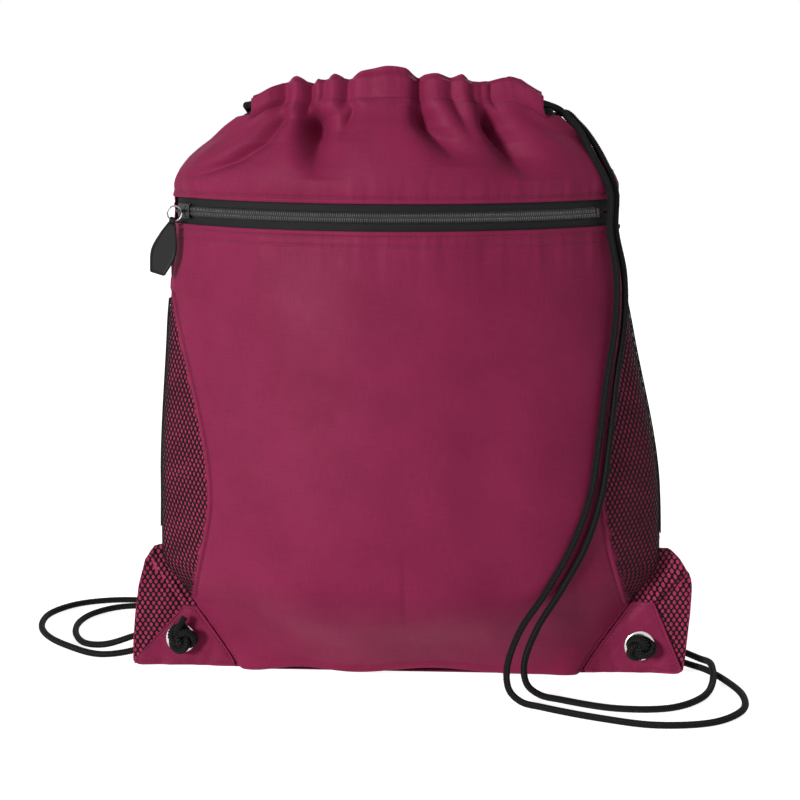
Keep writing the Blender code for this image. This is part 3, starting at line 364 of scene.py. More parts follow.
# Pocket back wall: the layer of the same nylon behind the pocket, sewn in with the side seams and the
# zip. It closes the pocket off from the main bag, and is seen only down through the mouth.
NET_LOW, NET_HIGH, NET_TIP = 0.047, 0.236, 0.002
WAIST_HALF_WIDTH, WAIST_HEIGHT = 0.1180, 0.122
POCKET_SPACE = 0.005
TUCK_HIGH, TUCK_IN, TUCK_LIFT, TUCK_WAVE = 0.070, 0.34, 0.0052, 0.0020


def seam_run(height):
    """Run to the curved side seam of the front: a smooth curve in from both ends of the net to the waist,
    and the corner of the outline above and below the net."""
    at = level(height)
    ends = level(np.array([NET_LOW, NET_HIGH]))["half_width"] - NET_TIP
    across = through((NET_LOW, WAIST_HEIGHT, NET_HIGH), (ends[0], WAIST_HALF_WIDTH, ends[1]), height)
    radius = at["arc"] + at["side"]
    front = np.arcsin(np.clip(across / radius, -1, 1)) * radius
    corner = np.arcsin(np.clip((across - at["lens"]) / at["side"], -1, 1)) - at["turn"]
    run = np.where(across <= radius * np.sin(at["turn"]), front, at["front"] + corner * at["side"])
    return np.where((height > NET_LOW) & (height < NET_HIGH), run, at["half"])


def tucked(places, share, height):
    """The front drawn in under the bag towards its bottom seam, and lifted a little off the floor there:
    nothing at the sides or above TUCK_HIGH."""
    low = 1 - ease(height / TUCK_HIGH)
    middle = 1 - ease((np.abs(share) - 0.45) / 0.50)
    wave = TUCK_LIFT + TUCK_WAVE * np.sin(7.0 * share + 0.6)
    drawn = np.stack([0 * low, -TUCK_IN * places[..., 1] * low * ease((1 - np.abs(share)) / 0.25),
                      wave * low * middle], -1)
    return places + drawn


shares, heights = np.linspace(-1, 1, 61), np.linspace(0.0012, 0.298, 100)
share, height = np.meshgrid(shares, heights)
reach = np.minimum(level(height)["front"], seam_run(height)) - POCKET_SPACE
slack = 0.0007 * ripple(share + height, 0.7, 1.1)
inner = add(
    "pocket_inner_cloth",
    grid_mesh("pocket_inner_cloth",
              tucked(on_bag(share * reach, height, slack - POCKET_SPACE - CLOTH), share, height),
              np.stack([share * 0.15, height], -1)),
    MAROON_NYLON, stands_for=["pocket_back_wall"],
)
thicken(inner)

# Pocket panel: the smooth front below the zip, cut in at the waist to make room for the net. Its edges
# are turned under and stitched, which leaves a narrow ridge, and a puckered hem lies along the zip.
ZIP_HEIGHT, ZIP_WINDOW = 0.286, 0.0078
HEM, STITCH_IN = 0.0085, 0.0034
STITCH_PITCH, STITCH_LENGTH, STITCH_WIDTH = 0.0030, 0.0023, 0.00055
THREAD = (0.150, 0.0140, 0.0480)
SIDES = (("left", -1), ("right", 1))


def edge_ridge(away):
    """Out beside a sewn edge: a round ridge over the turned-in cloth, then the dip of the stitching."""
    ridge = 0.0007 * np.sqrt(np.clip(1 - ((away - 0.0014) / 0.0016) ** 2, 0, 1))
    return ridge - 0.0007 * np.exp(-((away - STITCH_IN) / 0.0009) ** 2)


def pocket_shape(share, height, reach):
    """Out from the form: soft slack folds, ridges and puckers at the side seams, and the hem at the zip."""
    from_side, from_zip = (1 - np.abs(share)) * reach, ZIP_HEIGHT - ZIP_WINDOW - height
    slack = 0.0012 * ripple(share * 0.9 + 0.25 * height, 0.85, 2.6) * ease(height / 0.07)
    drag = 0.0013 * ripple(share * 0.30 - height * 1.5 * np.sign(share), 0.31, 0.7)
    low = drag * ease((0.13 - height) / 0.11) * ease(height / 0.03)
    gather = 0.0004 * ripple(share * reach, 0.021, 0.3) * np.exp(-((from_zip - 0.012) / 0.014) ** 2)
    fine = 0.00020 * ripple(share * reach, 0.0056, 1.9) * np.exp(-((from_zip - HEM * 0.75) / 0.0045) ** 2)
    sides = 0.00035 * ripple(height, 0.0085, 0.2 + 2 * np.sign(share)) * np.exp(-from_side / 0.007)
    hem = edge_ridge(from_zip) * 0.8 - 0.0005 * np.exp(-((from_zip - HEM) / 0.0008) ** 2)
    calm = ease(from_side / 0.012) * ease(from_zip / 0.012)
    return (slack + low) * calm + gather + fine + sides + hem + edge_ridge(from_side)


def lengths(line):
    """How far along a line of places each of them lies."""
    return np.concatenate([[0], np.cumsum(np.linalg.norm(np.diff(line, axis=0), axis=1))])


def unit(directions):
    """The directions, each divided by its length."""
    return directions / np.linalg.norm(directions, axis=-1, keepdims=True)


def many(name, points, flip=False):
    """Many like pieces as one mesh. points is (pieces, rings, corners, 3): each ring is joined to the next,
    and the first and last are closed with one face each."""
    corners = points.shape[2]
    index = np.arange(points[..., 0].size).reshape(points.shape[:3])
    index = np.concatenate([index, index[:, :, :1]], 2)
    faces = np.stack([index[:, :-1, :-1], index[:, 1:, :-1], index[:, 1:, 1:], index[:, :-1, 1:]], -1)
    ends = index[:, 0, :corners].tolist() + index[:, -1, corners - 1::-1].tolist()
    faces = faces.reshape(-1, 4).tolist() + ends
    mesh = bpy.data.meshes.new(name)
    mesh.from_pydata(points.reshape(-1, 3).tolist(), [], [face[::-1] for face in faces] if flip else faces)
    mesh.shade_smooth()
    return mesh


def stitches(name, line, normal):
    """A row of stitches along a line of places: each a short round thread, arched out of the cloth with
    both ends dipping into it. line and normal hold a place and an outward direction per point."""
    along = lengths(line)
    spots = np.arange(STITCH_PITCH / 2, along[-1] - STITCH_PITCH / 2, STITCH_PITCH)
    middle, ahead, behind, out = (
        np.stack([np.interp(spots + shift, along, values[:, k]) for k in range(3)], -1)
        for shift, values in ((0, line), (0.0004, line), (-0.0004, line), (0, normal))
    )
    ahead, out = unit(ahead - behind), unit(out)
    aside = np.cross(ahead, out)
    t = np.linspace(-1, 1, 5)
    swing = np.arange(6) * np.pi / 3
    swell = STITCH_WIDTH / 2 * np.sqrt(np.clip(1 - 0.9 * t**2, 0.05, 1))
    lift = STITCH_WIDTH * (0.25 - 0.75 * t**2)
    ring = np.stack(np.broadcast_arrays(
        (t * STITCH_LENGTH / 2)[:, None], lift[:, None] + swell[:, None] * np.sin(swing),
        swell[:, None] * np.cos(swing)), -1)
    frames = np.stack([ahead, out, aside], 1)
    return many(name, middle[:, None, None] + np.einsum("rck,nkd->nrcd", ring, frames))


def thread(name, light):
    """Sewing thread: a twist along it, seen as fine slanting bands on Object coordinates, and painted darker
    in the dips of the twist as shade between the plies.
    """
    made, tree, shader = finish_of(name, 0.6)
    spot = node(tree, "TexCoord").outputs["Object"]
    twist = node(tree, "TexWave", {"Vector": spot, "Scale": 900.0, "Distortion": 2.0},
                 bands_direction="DIAGONAL").outputs["Fac"]
    # colour darker in the dips of the twist: painted shade
    tint(tree, shader, twist, tuple(0.55 * value for value in light), light)
    relief(tree, shader, twist, 0.4, 0.0001)
    return made


MAROON_THREAD = thread("maroon_thread", THREAD)


def sew(name, line, normal):
    """Adds a row of stitches as a piece of its own."""
    add(name, stitches(name, line, normal), MAROON_THREAD)


def outward(run, height, facing=-1):
    """The direction square to the bag's outline at each place."""
    away = on_bag(run, height, 0.001, facing) - on_bag(run, height, 0.0, facing)
    return unit(away)


shares = np.concatenate([
    -1 + 0.028 * np.linspace(0, 1, 12), np.linspace(-0.965, 0.965, 196), 1 - 0.028 * np.linspace(1, 0, 12)
])
top = ZIP_HEIGHT - ZIP_WINDOW
heights = np.concatenate([np.linspace(FLOOR_ROUND, top - 0.026, 108), np.linspace(top - 0.025, top, 44)])
share, height = np.meshgrid(shares, heights)
reach = seam_run(height) - SEAM
wall = tucked(on_bag(share * reach, height, pocket_shape(share, height, reach)), share, height)
under = under_bag(shares, 1 - SEAM / level(FLOOR_ROUND)["half"])
under = tucked(under, np.broadcast_to(shares, under.shape[:2]), np.zeros(under.shape[:2]))
cut = np.stack([share * reach, height], -1)
under_cut = under_chart(shares * reach[0], len(under))
pocket = add(
    "pocket_cloth",
    grid_mesh("pocket_cloth", np.concatenate([under, wall]), np.concatenate([under_cut, cut])),
    MAROON_NYLON, stands_for=["pocket_panel"],
)
thicken(pocket)
for side, hand in SIDES:
    up = np.linspace(0.050, 0.233, 160)
    run = seam_run(up) - STITCH_IN
    line = on_bag(hand * run, up, pocket_shape(hand * run / (run + STITCH_IN), up, run + STITCH_IN))
    sew(f"{side}_seam_stitches", line, outward(hand * run, up))
for title, away in (("edge", STITCH_IN), ("hem", HEM)):
    up = np.full(300, top - away)
    reach = seam_run(up) - SEAM
    run = np.linspace(-1, 1, 300) * (reach - 0.004)
    line = on_bag(run, up, pocket_shape(run / reach, up, reach))
    sew(f"pocket_{title}_stitches", line, outward(run, up))

# Zip tapes: two black polyester tapes, woven in a herringbone, that run round the front in a level arc.
# Each is sewn behind the folded edge of its panel and carries one row of the coil.
ZIP_BAND = level(np.array(ZIP_HEIGHT))
ZIP_RADIUS = float(ZIP_BAND["arc"] + ZIP_BAND["side"])
ZIP_MIDDLE = np.array([BAG_LEAN, float(ZIP_BAND["behind"]), ZIP_HEIGHT])
ZIP_TURN = float(ZIP_BAND["turn"]) - math.radians(0.8)
TAPE_FACE, TAPE_WIDTH, TAPE_PAST = ZIP_RADIUS - 0.0014, 0.0120, 0.012
# TAPE_GREY is the colour on the ribs of the twill, and TAPE_BLACK the painted shade in its dips.
TAPE_GREY, TAPE_BLACK = (0.012, 0.012, 0.013), (0.004, 0.004, 0.004)


def round_zip(turn, radius, rise):
    """Places on the zip's arc: turned from straight ahead about its upright axis, that far out and up."""
    turn, radius, rise = np.broadcast_arrays(turn, radius, rise)
    return ZIP_MIDDLE + np.stack([radius * np.sin(turn), -radius * np.cos(turn), rise], -1)


def herringbone(name, light, dark, rib=0.0011, stripe=0.0021):
    """Twill whose slant turns over from stripe to stripe: the wave runs along x + |v|, where v zigzags. Its
    colour is painted darker in the dips of the wave, as shade.
    """
    made, tree, shader = finish_of(name, 0.7)
    part = node(tree, "SeparateXYZ", {0: node(tree, "UVMap", uv_map="flat").outputs[0]}).outputs
    zigzag = work_out(tree, "PINGPONG", part[1], stripe)
    wave = work_out(tree, "SINE", work_out(
        tree, "MULTIPLY", work_out(tree, "ADD", part[0], zigzag), 2 * math.pi / rib))
    height = work_out(tree, "MULTIPLY_ADD", wave, 0.5, 0.5)
    # colour darker in the dips of the wave: painted shade
    tint(tree, shader, height, dark, light)
    shader.inputs["Specular IOR Level"].default_value = 0.20
    dulled(tree, shader, height, 0.82, 0.62)
    relief(tree, shader, height, 0.5, 0.00015)
    return made


BLACK_TAPE = herringbone("black_tape", TAPE_GREY, TAPE_BLACK)
for title, up in (("upper", 1), ("lower", -1)):
    turns = np.linspace(-ZIP_TURN - TAPE_PAST, ZIP_TURN + TAPE_PAST, 250)
    turn, rise = np.meshgrid(turns, np.linspace(0.0006, TAPE_WIDTH, 18))
    wave = 0.00025 * ripple(turn * ZIP_RADIUS, 0.035, up) * ease((rise - 0.003) / 0.004)
    rim = 0.0002 * np.exp(-((rise - 0.0037) / 0.0004) ** 2)
    tape = add(
        f"{title}_zip_tape",
        grid_mesh(f"{title}_zip_tape", round_zip(turn, TAPE_FACE + wave + rim, up * rise),
                  np.stack([turn * ZIP_RADIUS, rise], -1), flip=up < 0),
        BLACK_TAPE, stands_for=[f"zip_tape_{title}"],
    )
    thicken(tape, 0.0005)

# Zip coil: nylon wire wound into two rows of bent loops, sewn to the tapes' inner edges, whose heads
# lock into each other by turns when the slider has closed them. A moulded stop ends it at each end.
TOOTH_PITCH, COIL_WIRE = 0.00130, 0.00030
COIL_FOOT = TAPE_FACE + 0.0003
STOP_TURN, OPEN_END = 0.0026 / ZIP_RADIUS, ZIP_TURN - 0.0120 / ZIP_RADIUS


def teeth(up):
    """One row of loops: a flattened wire carried over an arch from the tape up to its locking head, and
    the same arch repeated every TOOTH_PITCH along the zip. The other row stands half a pitch on."""
    arch = np.array([  # rise from the zip's middle, height over the tape, half width along the zip
        (0.0031, 0.0000, 0.00026), (0.0030, 0.0009, 0.00028), (0.0023, 0.0014, 0.00030),
        (0.0013, 0.0016, 0.00032), (0.0005, 0.0015, 0.00042), (-0.0002, 0.0011, 0.00044),
        (-0.0003, 0.0004, 0.00036),
    ])
    low, high = -ZIP_TURN + STOP_TURN, OPEN_END - STOP_TURN
    step = TOOTH_PITCH / ZIP_RADIUS
    turns = np.arange(low + step * (0.75 if up > 0 else 1.25), high - step / 2, step)
    swing = np.radians([45, 135, 225, 315])
    inward = np.gradient(arch[:, :2], axis=0)
    square = np.stack([-inward[:, 1], inward[:, 0]], -1) / np.linalg.norm(inward, axis=1, keepdims=True)
    rise = arch[:, None, 0] + square[:, None, 0] * COIL_WIRE * np.sin(swing)
    out = arch[:, None, 1] - square[:, None, 1] * COIL_WIRE * np.sin(swing)
    along = arch[:, None, 2] * np.cos(swing) * 1.25
    points = round_zip(turns[:, None, None] + along / ZIP_RADIUS, COIL_FOOT + np.maximum(out, 0), up * rise)
    return many("teeth", points, flip=up < 0)


def moulded(name, light, dark, roughness):
    """Moulded plastic: a fine even grain in the skin, duller in its hollows, with tone that varies in cloudy
    patches.
    """
    made, tree, shader = finish_of(name, roughness)
    spot = node(tree, "TexCoord").outputs["Object"]
    fine = node(tree, "TexNoise", {"Vector": spot, "Scale": 2600.0, "Detail": 2.0}).outputs["Fac"]
    cloud = node(tree, "TexNoise", {"Vector": spot, "Scale": 160.0, "Detail": 2.0}).outputs["Fac"]
    tint(tree, shader, cloud, dark, light)
    dulled(tree, shader, fine, roughness + 0.10, roughness - 0.06, 0.3, 0.7)
    relief(tree, shader, fine, 0.25, 0.0001)
    return made


BLACK_STOP = moulded("black_stop", (0.016, 0.016, 0.017), (0.008, 0.008, 0.009), 0.5)
# The coil is black nylon like the stops. Its lighter grey stands for the highlights on its loops, which is a
# painted highlight.
COIL_WITH_PAINTED_SHINE = moulded("coil_with_painted_shine", (0.090, 0.090, 0.093), (0.045, 0.045, 0.047), 0.30)
for title, up in (("upper", 1), ("lower", -1)):
    add(f"{title}_coil_teeth", teeth(up), COIL_WITH_PAINTED_SHINE, stands_for=[f"zip_coil_{title}"])
for title, turn in (("left", -ZIP_TURN + STOP_TURN / 2), ("right", OPEN_END - STOP_TURN / 2)):
    swing, along = np.meshgrid(np.linspace(0, np.pi, 17), np.linspace(-1, 1, 9))
    swell = np.sqrt(np.clip(1 - 0.85 * along**4, 0.02, 1))
    rise = -0.0031 * np.cos(swing) * swell
    out = COIL_FOOT + 0.0019 * np.sin(swing) ** 0.5 * swell
    stop = grid_mesh(f"{title}_zip_end", round_zip(turn + along * STOP_TURN / 2, out, rise))
    add(f"{title}_zip_end", stop, BLACK_STOP, stands_for=[f"zip_{title}_stop"])

# Upper front panel: nylon between the zip and the mouth. The drawn cords gather its top, and folds run
# down from the notches, deep beside the biggest ruffles, and die out above the puckered seam at the zip.
FRONT_PLEATS = [  # share of the way along the mouth, fullness, top above the casing's middle in mm
    (-1.00, 0.30, -6.0), (-0.84, 0.30, -3.0), (-0.74, 0.70, 1.0), (-0.635, 0.15, 2.9), (-0.545, 1.00, 5.6),
    (-0.455, 0.00, 0.6), (-0.410, 0.55, 2.6), (-0.370, 0.05, -0.2), (-0.310, 0.80, 4.9),
    (-0.235, 0.10, 1.0), (-0.165, 0.70, 5.8), (-0.100, 0.60, 7.2), (-0.010, 1.00, 8.4), (0.080, 0.80, 7.4),
    (0.158, 0.00, 3.0), (0.190, 0.50, 4.2), (0.250, 0.85, 4.6), (0.335, 0.25, 2.6), (0.395, 0.70, 4.8),
    (0.462, 0.05, -1.4), (0.520, 0.40, 1.0), (0.560, 0.00, -1.0), (0.665, 1.00, 5.2), (0.790, 0.60, 3.2),
    (0.900, 0.30, 2.0), (1.00, 0.20, 2.0),
]
FOLDS = [  # heights; for each, the fold's share, depth by FOLD_DEPTH, and widths to left and right in mm
    ((0.3060, 0.3112, 0.3182, 0.3286, 0.3370, 0.3475), (-0.27, -0.29, -0.325, -0.365, -0.40, -0.455),
     (0.0, 1.6, 5.4, 9.6, 10.0, 6.5), (9, 9, 8, 8, 8, 6), (15, 14, 14, 14, 11, 5)),
    ((0.3120, 0.3180, 0.3250, 0.3310, 0.3400, 0.3475), (0.270, 0.250, 0.205, 0.160, 0.140, 0.158),
     (0.0, 2.2, 4.6, 5.8, 6.0, 4.8), (12, 11, 9, 7, 5, 4), (16, 15, 13, 10, 7, 5)),
    ((0.3060, 0.3107, 0.3170, 0.3240, 0.3310, 0.3396, 0.3475),
     (0.53, 0.525, 0.518, 0.50, 0.478, 0.485, 0.51),
     (0.0, 2.0, 5.4, 7.6, 8.4, 7.4, 5.0), (14, 13, 11, 9, 7, 6, 5), (15, 15, 15, 14, 11, 7, 5)),
    ((0.3040, 0.3085, 0.3150, 0.3235, 0.3371, 0.3475), (-0.88, -0.78, -0.66, -0.575, -0.56, -0.62),
     (0.0, 1.4, 3.2, 3.8, 3.2, 2.6), (16, 15, 13, 11, 8, 6), (16, 15, 13, 10, 7, 6)),
    ((0.3230, 0.3308, 0.3400, 0.3475), (-0.205, -0.200, -0.185, -0.235),
     (0.0, 2.0, 3.4, 3.4), (6, 6, 5, 4), (7, 6, 5, 4)),
    ((0.3220, 0.3300, 0.3400, 0.3475), (0.36, 0.35, 0.34, 0.335),
     (0.0, 0.9, 1.6, 2.0), (7, 6, 5, 4), (7, 6, 5, 4)),
]
FOLD_DEPTH, LEFT_SPREAD, RIGHT_SPREAD = 0.0026, 0.80, 0.95
MOUTH_SHARE, GATHER_START = 0.27, 0.3330
PLEAT_SHARES = np.array([pleat[0] for pleat in FRONT_PLEATS])


def front_gathers(share):
    """The gathers of the front along its mouth, from 0 to 1."""
    return gathers(share, [pleat[:2] for pleat in FRONT_PLEATS])


def front_folds(share, height):
    """The folds below the mouth: each is a groove of depth x exp(-|x/width|^1.5) across its line, where
    the line, depth and widths are read at the height, and the widths differ on its two sides."""
    total = np.zeros(np.broadcast(share, height).shape)
    for rises, shares, depths, lefts, rights in FOLDS:
        away = (share - np.interp(height, rises, shares)) * level(height)["half"] * 1000
        left = LEFT_SPREAD * np.interp(height, rises, lefts)
        right = RIGHT_SPREAD * np.interp(height, rises, rights)
        across = np.abs(away / np.where(away < 0, left, right))
        total -= np.interp(height, rises, depths) * FOLD_DEPTH * np.exp(-across**1.5)
    return total


def mouth_fold(share):
    """What is left of the folds where they reach the mouth: they end in its notches."""
    return MOUTH_SHARE * front_folds(share, np.full(np.shape(share), MOUTH))


def upper_shape(share, height):
    """Out from the form: full between the folds, taking on the gathers of the casing above GATHER_START,
    with the seam's ridge and puckers at the zip."""
    from_zip = height - ZIP_HEIGHT - ZIP_WINDOW
    full = 0.0030 * np.sin(np.pi * np.clip(from_zip / (MOUTH - ZIP_HEIGHT - ZIP_WINDOW), 0, 1))
    edge = ease((1 - np.abs(share)) / 0.14)
    body = (full + front_folds(share, height)) * edge
    mouth = GATHER * front_gathers(share) + MOUTH_OUT + mouth_fold(share)
    taken = ease((height - GATHER_START) / (MOUTH - GATHER_START))
    run = share * level(height)["half"]
    pucker = 0.0004 * ripple(run, 0.0190, 2.2) * np.exp(-((from_zip - 0.006) / 0.006) ** 2)
    fine = 0.00010 * ripple(run, 0.0052, 0.9) * np.exp(-((from_zip - 0.003) / 0.004) ** 2)
    return body * (1 - taken) + mouth * taken + (pucker + fine) * edge + edge_ridge(from_zip) * 0.9


shares = np.concatenate([[-1], np.linspace(-0.992, 0.992, 319), [1]])
foot = ZIP_HEIGHT + ZIP_WINDOW
heights = np.concatenate([np.linspace(foot, foot + 0.008, 16), np.linspace(foot + 0.009, MOUTH, 74)])
share, height = np.meshgrid(shares, heights)
reach = level(height)["half"] - SEAM
wall = on_bag(share * reach, hung(share, height), upper_shape(share, height))
upper = add(
    "upper_front_cloth", grid_mesh("upper_front_cloth", wall, np.stack([share * HALF_CUT, height], -1)),
    MAROON_NYLON, stands_for=["upper_front_panel"],
)
thicken(upper)
run = np.linspace(-1, 1, 300) * (level(np.array(foot))["half"] - 0.008)
up = np.full(300, foot + STITCH_IN)
line = on_bag(run, up, upper_shape(run / level(up)["half"], up))
sew("upper_seam_stitches", line, outward(run, up))

# Side linings: a leaf of the same nylon behind the net on each side, sewn into the front's side seam
# and into the back seam. It shows through the holes of the net.
LINING_DEPTH = 0.0007
LINING_NYLON = nylon("lining_nylon", (0.400, 0.038, 0.108), (0.320, 0.027, 0.082), sheen=0.2)
for side, hand in SIDES:
    part, height = np.meshgrid(np.linspace(0, 1, 40), np.linspace(NET_LOW + 0.001, NET_HIGH - 0.001, 120))
    near, far = seam_run(height) + SEAM, level(height)["half"] - SEAM
    run = hand * (near + (far - near) * part)
    slack = 0.0002 * ripple(height + part * 0.02, 0.031, hand) * np.sin(np.pi * part)
    lining = add(
        f"{side}_lining_cloth",
        grid_mesh(f"{side}_lining_cloth", on_bag(run, height, slack - LINING_DEPTH),
                  np.stack([run, height], -1), flip=hand < 0),
        LINING_NYLON, stands_for=[f"{side}_side_lining"],
    )
    thicken(lining)

# Side nets: black warp-knitted polyester net over each lining. The knit leaves rows of six-sided holes,
# each row half a hole on from the next, between rounded bars.
HOLE_PITCH, ROW_PITCH, HOLE_WIDE, HOLE_TALL = 0.00350, 0.00275, 0.00108, 0.00142
NET_TALL = (HOLE_PITCH**2 / 4 + ROW_PITCH**2) / (2 * ROW_PITCH)
NET_LOWCORNER = NET_TALL - HOLE_PITCH**2 / (4 * ROW_PITCH)


def net_cells(middle):
    """One cell of net round each middle, as (cells, rings, corners, 3): place in the net's own plane and
    height over it. The outer ring is the six-sided cell, with a place halfway along each side, on the
    crest of the bars; the inner ring is the rounded hole; the bars round over between them."""
    half = HOLE_PITCH / 2
    corners = np.array([(half, -NET_LOWCORNER), (half, NET_LOWCORNER), (0, NET_TALL),
                        (-half, NET_LOWCORNER), (-half, -NET_LOWCORNER), (0, -NET_TALL)])
    outer = np.stack([corners, (corners + np.roll(corners, -1, 0)) / 2], 1).reshape(12, 2)
    angle = np.arctan2(outer[:, 1], outer[:, 0])
    hole = 1 / np.sqrt((np.cos(angle) / HOLE_WIDE) ** 2 + (np.sin(angle) / HOLE_TALL) ** 2)
    inner = hole[:, None] * np.stack([np.cos(angle), np.sin(angle)], -1)
    rings = [(outer, 0.00018), (outer * 0.6 + inner * 0.4, 0.00014), (outer * 0.2 + inner * 0.8, 0.00000),
             (inner, -0.00014), (outer * 0.4 + inner * 0.6, -0.00024)]
    cell = np.stack([np.concatenate([at, np.full((12, 1), over)], 1) for at, over in rings])
    return cell + np.concatenate([middle, np.zeros((len(middle), 1))], 1)[:, None, None]


def net_mesh(name, places):
    """The cells' places joined up ring by ring; the crests of neighbouring cells meet."""
    cells, rings, corners = places.shape[:3]
    index = np.arange(cells * rings * corners).reshape(cells, rings, corners)
    index = np.concatenate([index, index[:, :, :1]], 2)
    faces = np.stack([index[:, :-1, :-1], index[:, :-1, 1:], index[:, 1:, 1:], index[:, 1:, :-1]], -1)
    mesh = bpy.data.meshes.new(name)
    mesh.from_pydata(places.reshape(-1, 3).tolist(), [], faces.reshape(-1, 4).tolist())
    mesh.shade_smooth()
    return mesh


def lattice(columns, rows):
    """Middles of the holes: rows ROW_PITCH apart, each moved half a pitch from the one below."""
    row, column = np.meshgrid(np.arange(*rows), np.arange(*columns), indexing="ij")
    return np.stack([(column + 0.5 * (row % 2)) * HOLE_PITCH, row * ROW_PITCH], -1).reshape(-1, 2)


def knit(name, light, dark):
    """Knitted yarn: fine loops from a bent wave, with a little fuzz, and painted darker where they are low,
    as shade between the loops.
    """
    made, tree, shader = finish_of(name, 0.6)
    spot = node(tree, "TexCoord").outputs["Object"]
    loops = node(tree, "TexWave", {"Vector": spot, "Scale": 620.0, "Distortion": 3.0, "Detail": 1.0},
                 bands_direction="Z").outputs["Fac"]
    fuzz = node(tree, "TexNoise", {"Vector": spot, "Scale": 2400.0, "Detail": 2.0}).outputs["Fac"]
    height = work_out(tree, "MULTIPLY_ADD", fuzz, 0.5, loops)
    # colour darker where the relief is low: painted shade between the loops
    tint(tree, shader, height, dark, light)
    shader.inputs["Specular IOR Level"].default_value = 0.08
    dulled(tree, shader, height, 0.75, 0.50, end=1.5)
    relief(tree, shader, height, 0.5, 0.00012)
    return made


BLACK_NET = knit("black_net", (0.010, 0.009, 0.010), (0.003, 0.003, 0.003))
for side, hand in SIDES:
    middle = lattice((-2, 28), (0, 76)) + (0, NET_LOW)
    run = level(middle[:, 1])["half"] - middle[:, 0]
    kept = (run > seam_run(middle[:, 1]) + 0.0008) & (run < level(middle[:, 1])["half"] - 0.0004)
    kept &= (middle[:, 1] > NET_LOW + 0.002) & (middle[:, 1] < NET_HIGH - 0.003)
    cell = net_cells(middle[kept])
    up = np.clip(cell[..., 1], NET_LOW, NET_HIGH)
    run = np.clip(level(up)["half"] - cell[..., 0], seam_run(up) + SEAM, level(up)["half"] - SEAM)
    places = on_bag(hand * run, up, cell[..., 2] - 0.0001)
    if hand > 0:
        places = places[:, :, ::-1]
    net = add(f"{side}_net", net_mesh(f"{side}_net", places), BLACK_NET,
              stands_for=[f"{side}_side_mesh"])

# Bindings: a narrow black tape folded over the seam between each net and the back panel, so that the
# cut edge of the net is covered. It starts above the corner flap and is sewn through all the layers.
BINDING_FOOT, HALF_BINDING = 0.0905, 0.0021
for side, hand in SIDES:
    up = np.linspace(BINDING_FOOT, NET_HIGH - 0.004, 150)[:, None]
    at = level(up)
    across = np.linspace(-1, 1, 13)[None, :]
    angle = np.pi / 2 + across * HALF_BINDING / at["side"]
    radius = at["side"] + 0.0005 + 0.0005 * np.sqrt(np.clip(1 - across**4, 0, 1))
    x = hand * (at["lens"] + radius * np.sin(angle))
    flat = np.stack(np.broadcast_arrays(up, across * HALF_BINDING), -1)
    band = settled(x, -radius * np.cos(angle), np.broadcast_to(up, x.shape))
    binding = add(f"{side}_binding_tape", grid_mesh(f"{side}_binding_tape", band, flat, flip=hand < 0),
                  BLACK_TAPE, stands_for=[f"{side}_side_binding"])
    thicken(binding, 0.0004)

# Corner flaps: the bag's flat lower corners, which stand out past the filled part on each side. Each is
# a doubled leaf of lining cloth faced with the net; the right one folds over a crease above its patch.
EYE = np.array([0.1420, 0.0195])
CORNERS = {  # outer edge and crease line, as distances from the bag's middle and heights
    "left": ([(0.1010, 0.0012), (0.1400, 0.0018), (0.1690, 0.0014), (0.1728, 0.0040), (0.1726, 0.0140),
              (0.1712, 0.0330), (0.1684, 0.0530), (0.1640, 0.0690), (0.1585, 0.0775), (0.1500, 0.0800)],
             [(0.1370, 0.0400), (0.1585, 0.0715)]),
    "right": ([(0.1010, 0.0012), (0.1380, 0.0020), (0.1660, 0.0014), (0.1690, 0.0040), (0.1702, 0.0120),
               (0.1726, 0.0400), (0.1735, 0.0570), (0.1722, 0.0640), (0.1662, 0.0730), (0.1590, 0.0800),
               (0.1500, 0.0812)],
              [(0.1480, 0.0450), (0.1733, 0.0705)]),
}
EYELET_HOLE, EYE_CLEAR, CORNER_SEAM, NET_OUT = 0.0060, 0.0120, 0.0030, 0.0007
FACES = (("front", -1), ("rear", 1))


def corner_edge(side):
    """The flap's whole edge: along the floor, up its outer edge and back down the side of the bag."""
    rises = np.linspace(0.0760, 0.0040, 12)
    inner = np.stack([level(rises)["half_width"] - CORNER_SEAM, rises], -1)
    return np.concatenate([np.array(CORNERS[side][0]), inner])


def corner_fall(side, x, z):
    """How far back the flap lies: level round the eyelet, rolled up along the crease over a groove, falling
    away above the crease, with a slow wave along the floor, and flat where it is sewn to the bag."""
    foot, head = np.array(CORNERS[side][1])
    along = (head - foot) / np.linalg.norm(head - foot)
    above = (z - foot[1]) * along[0] - (x - foot[0]) * along[1]
    past = (x - foot[0]) * along[0] + (z - foot[1]) * along[1]
    roll = 0.0030 * np.exp(-(((above - 0.0010) / 0.0024) ** 2))
    roll = roll - 0.0016 * np.exp(-(((above + 0.0034) / 0.0018) ** 2))
    back = 0.0065 * ease(above / 0.013) - roll * ease(past / 0.006)
    calm = ease((np.hypot(x - EYE[0], z - EYE[1]) - 0.0100) / 0.010)
    sewn = ease((x - level(z)["half_width"]) / 0.010)
    return back * sewn + calm * sewn * 0.0007 * ripple(x + 0.4 * z, 0.026, 1.1 if side == "left" else 2.7)


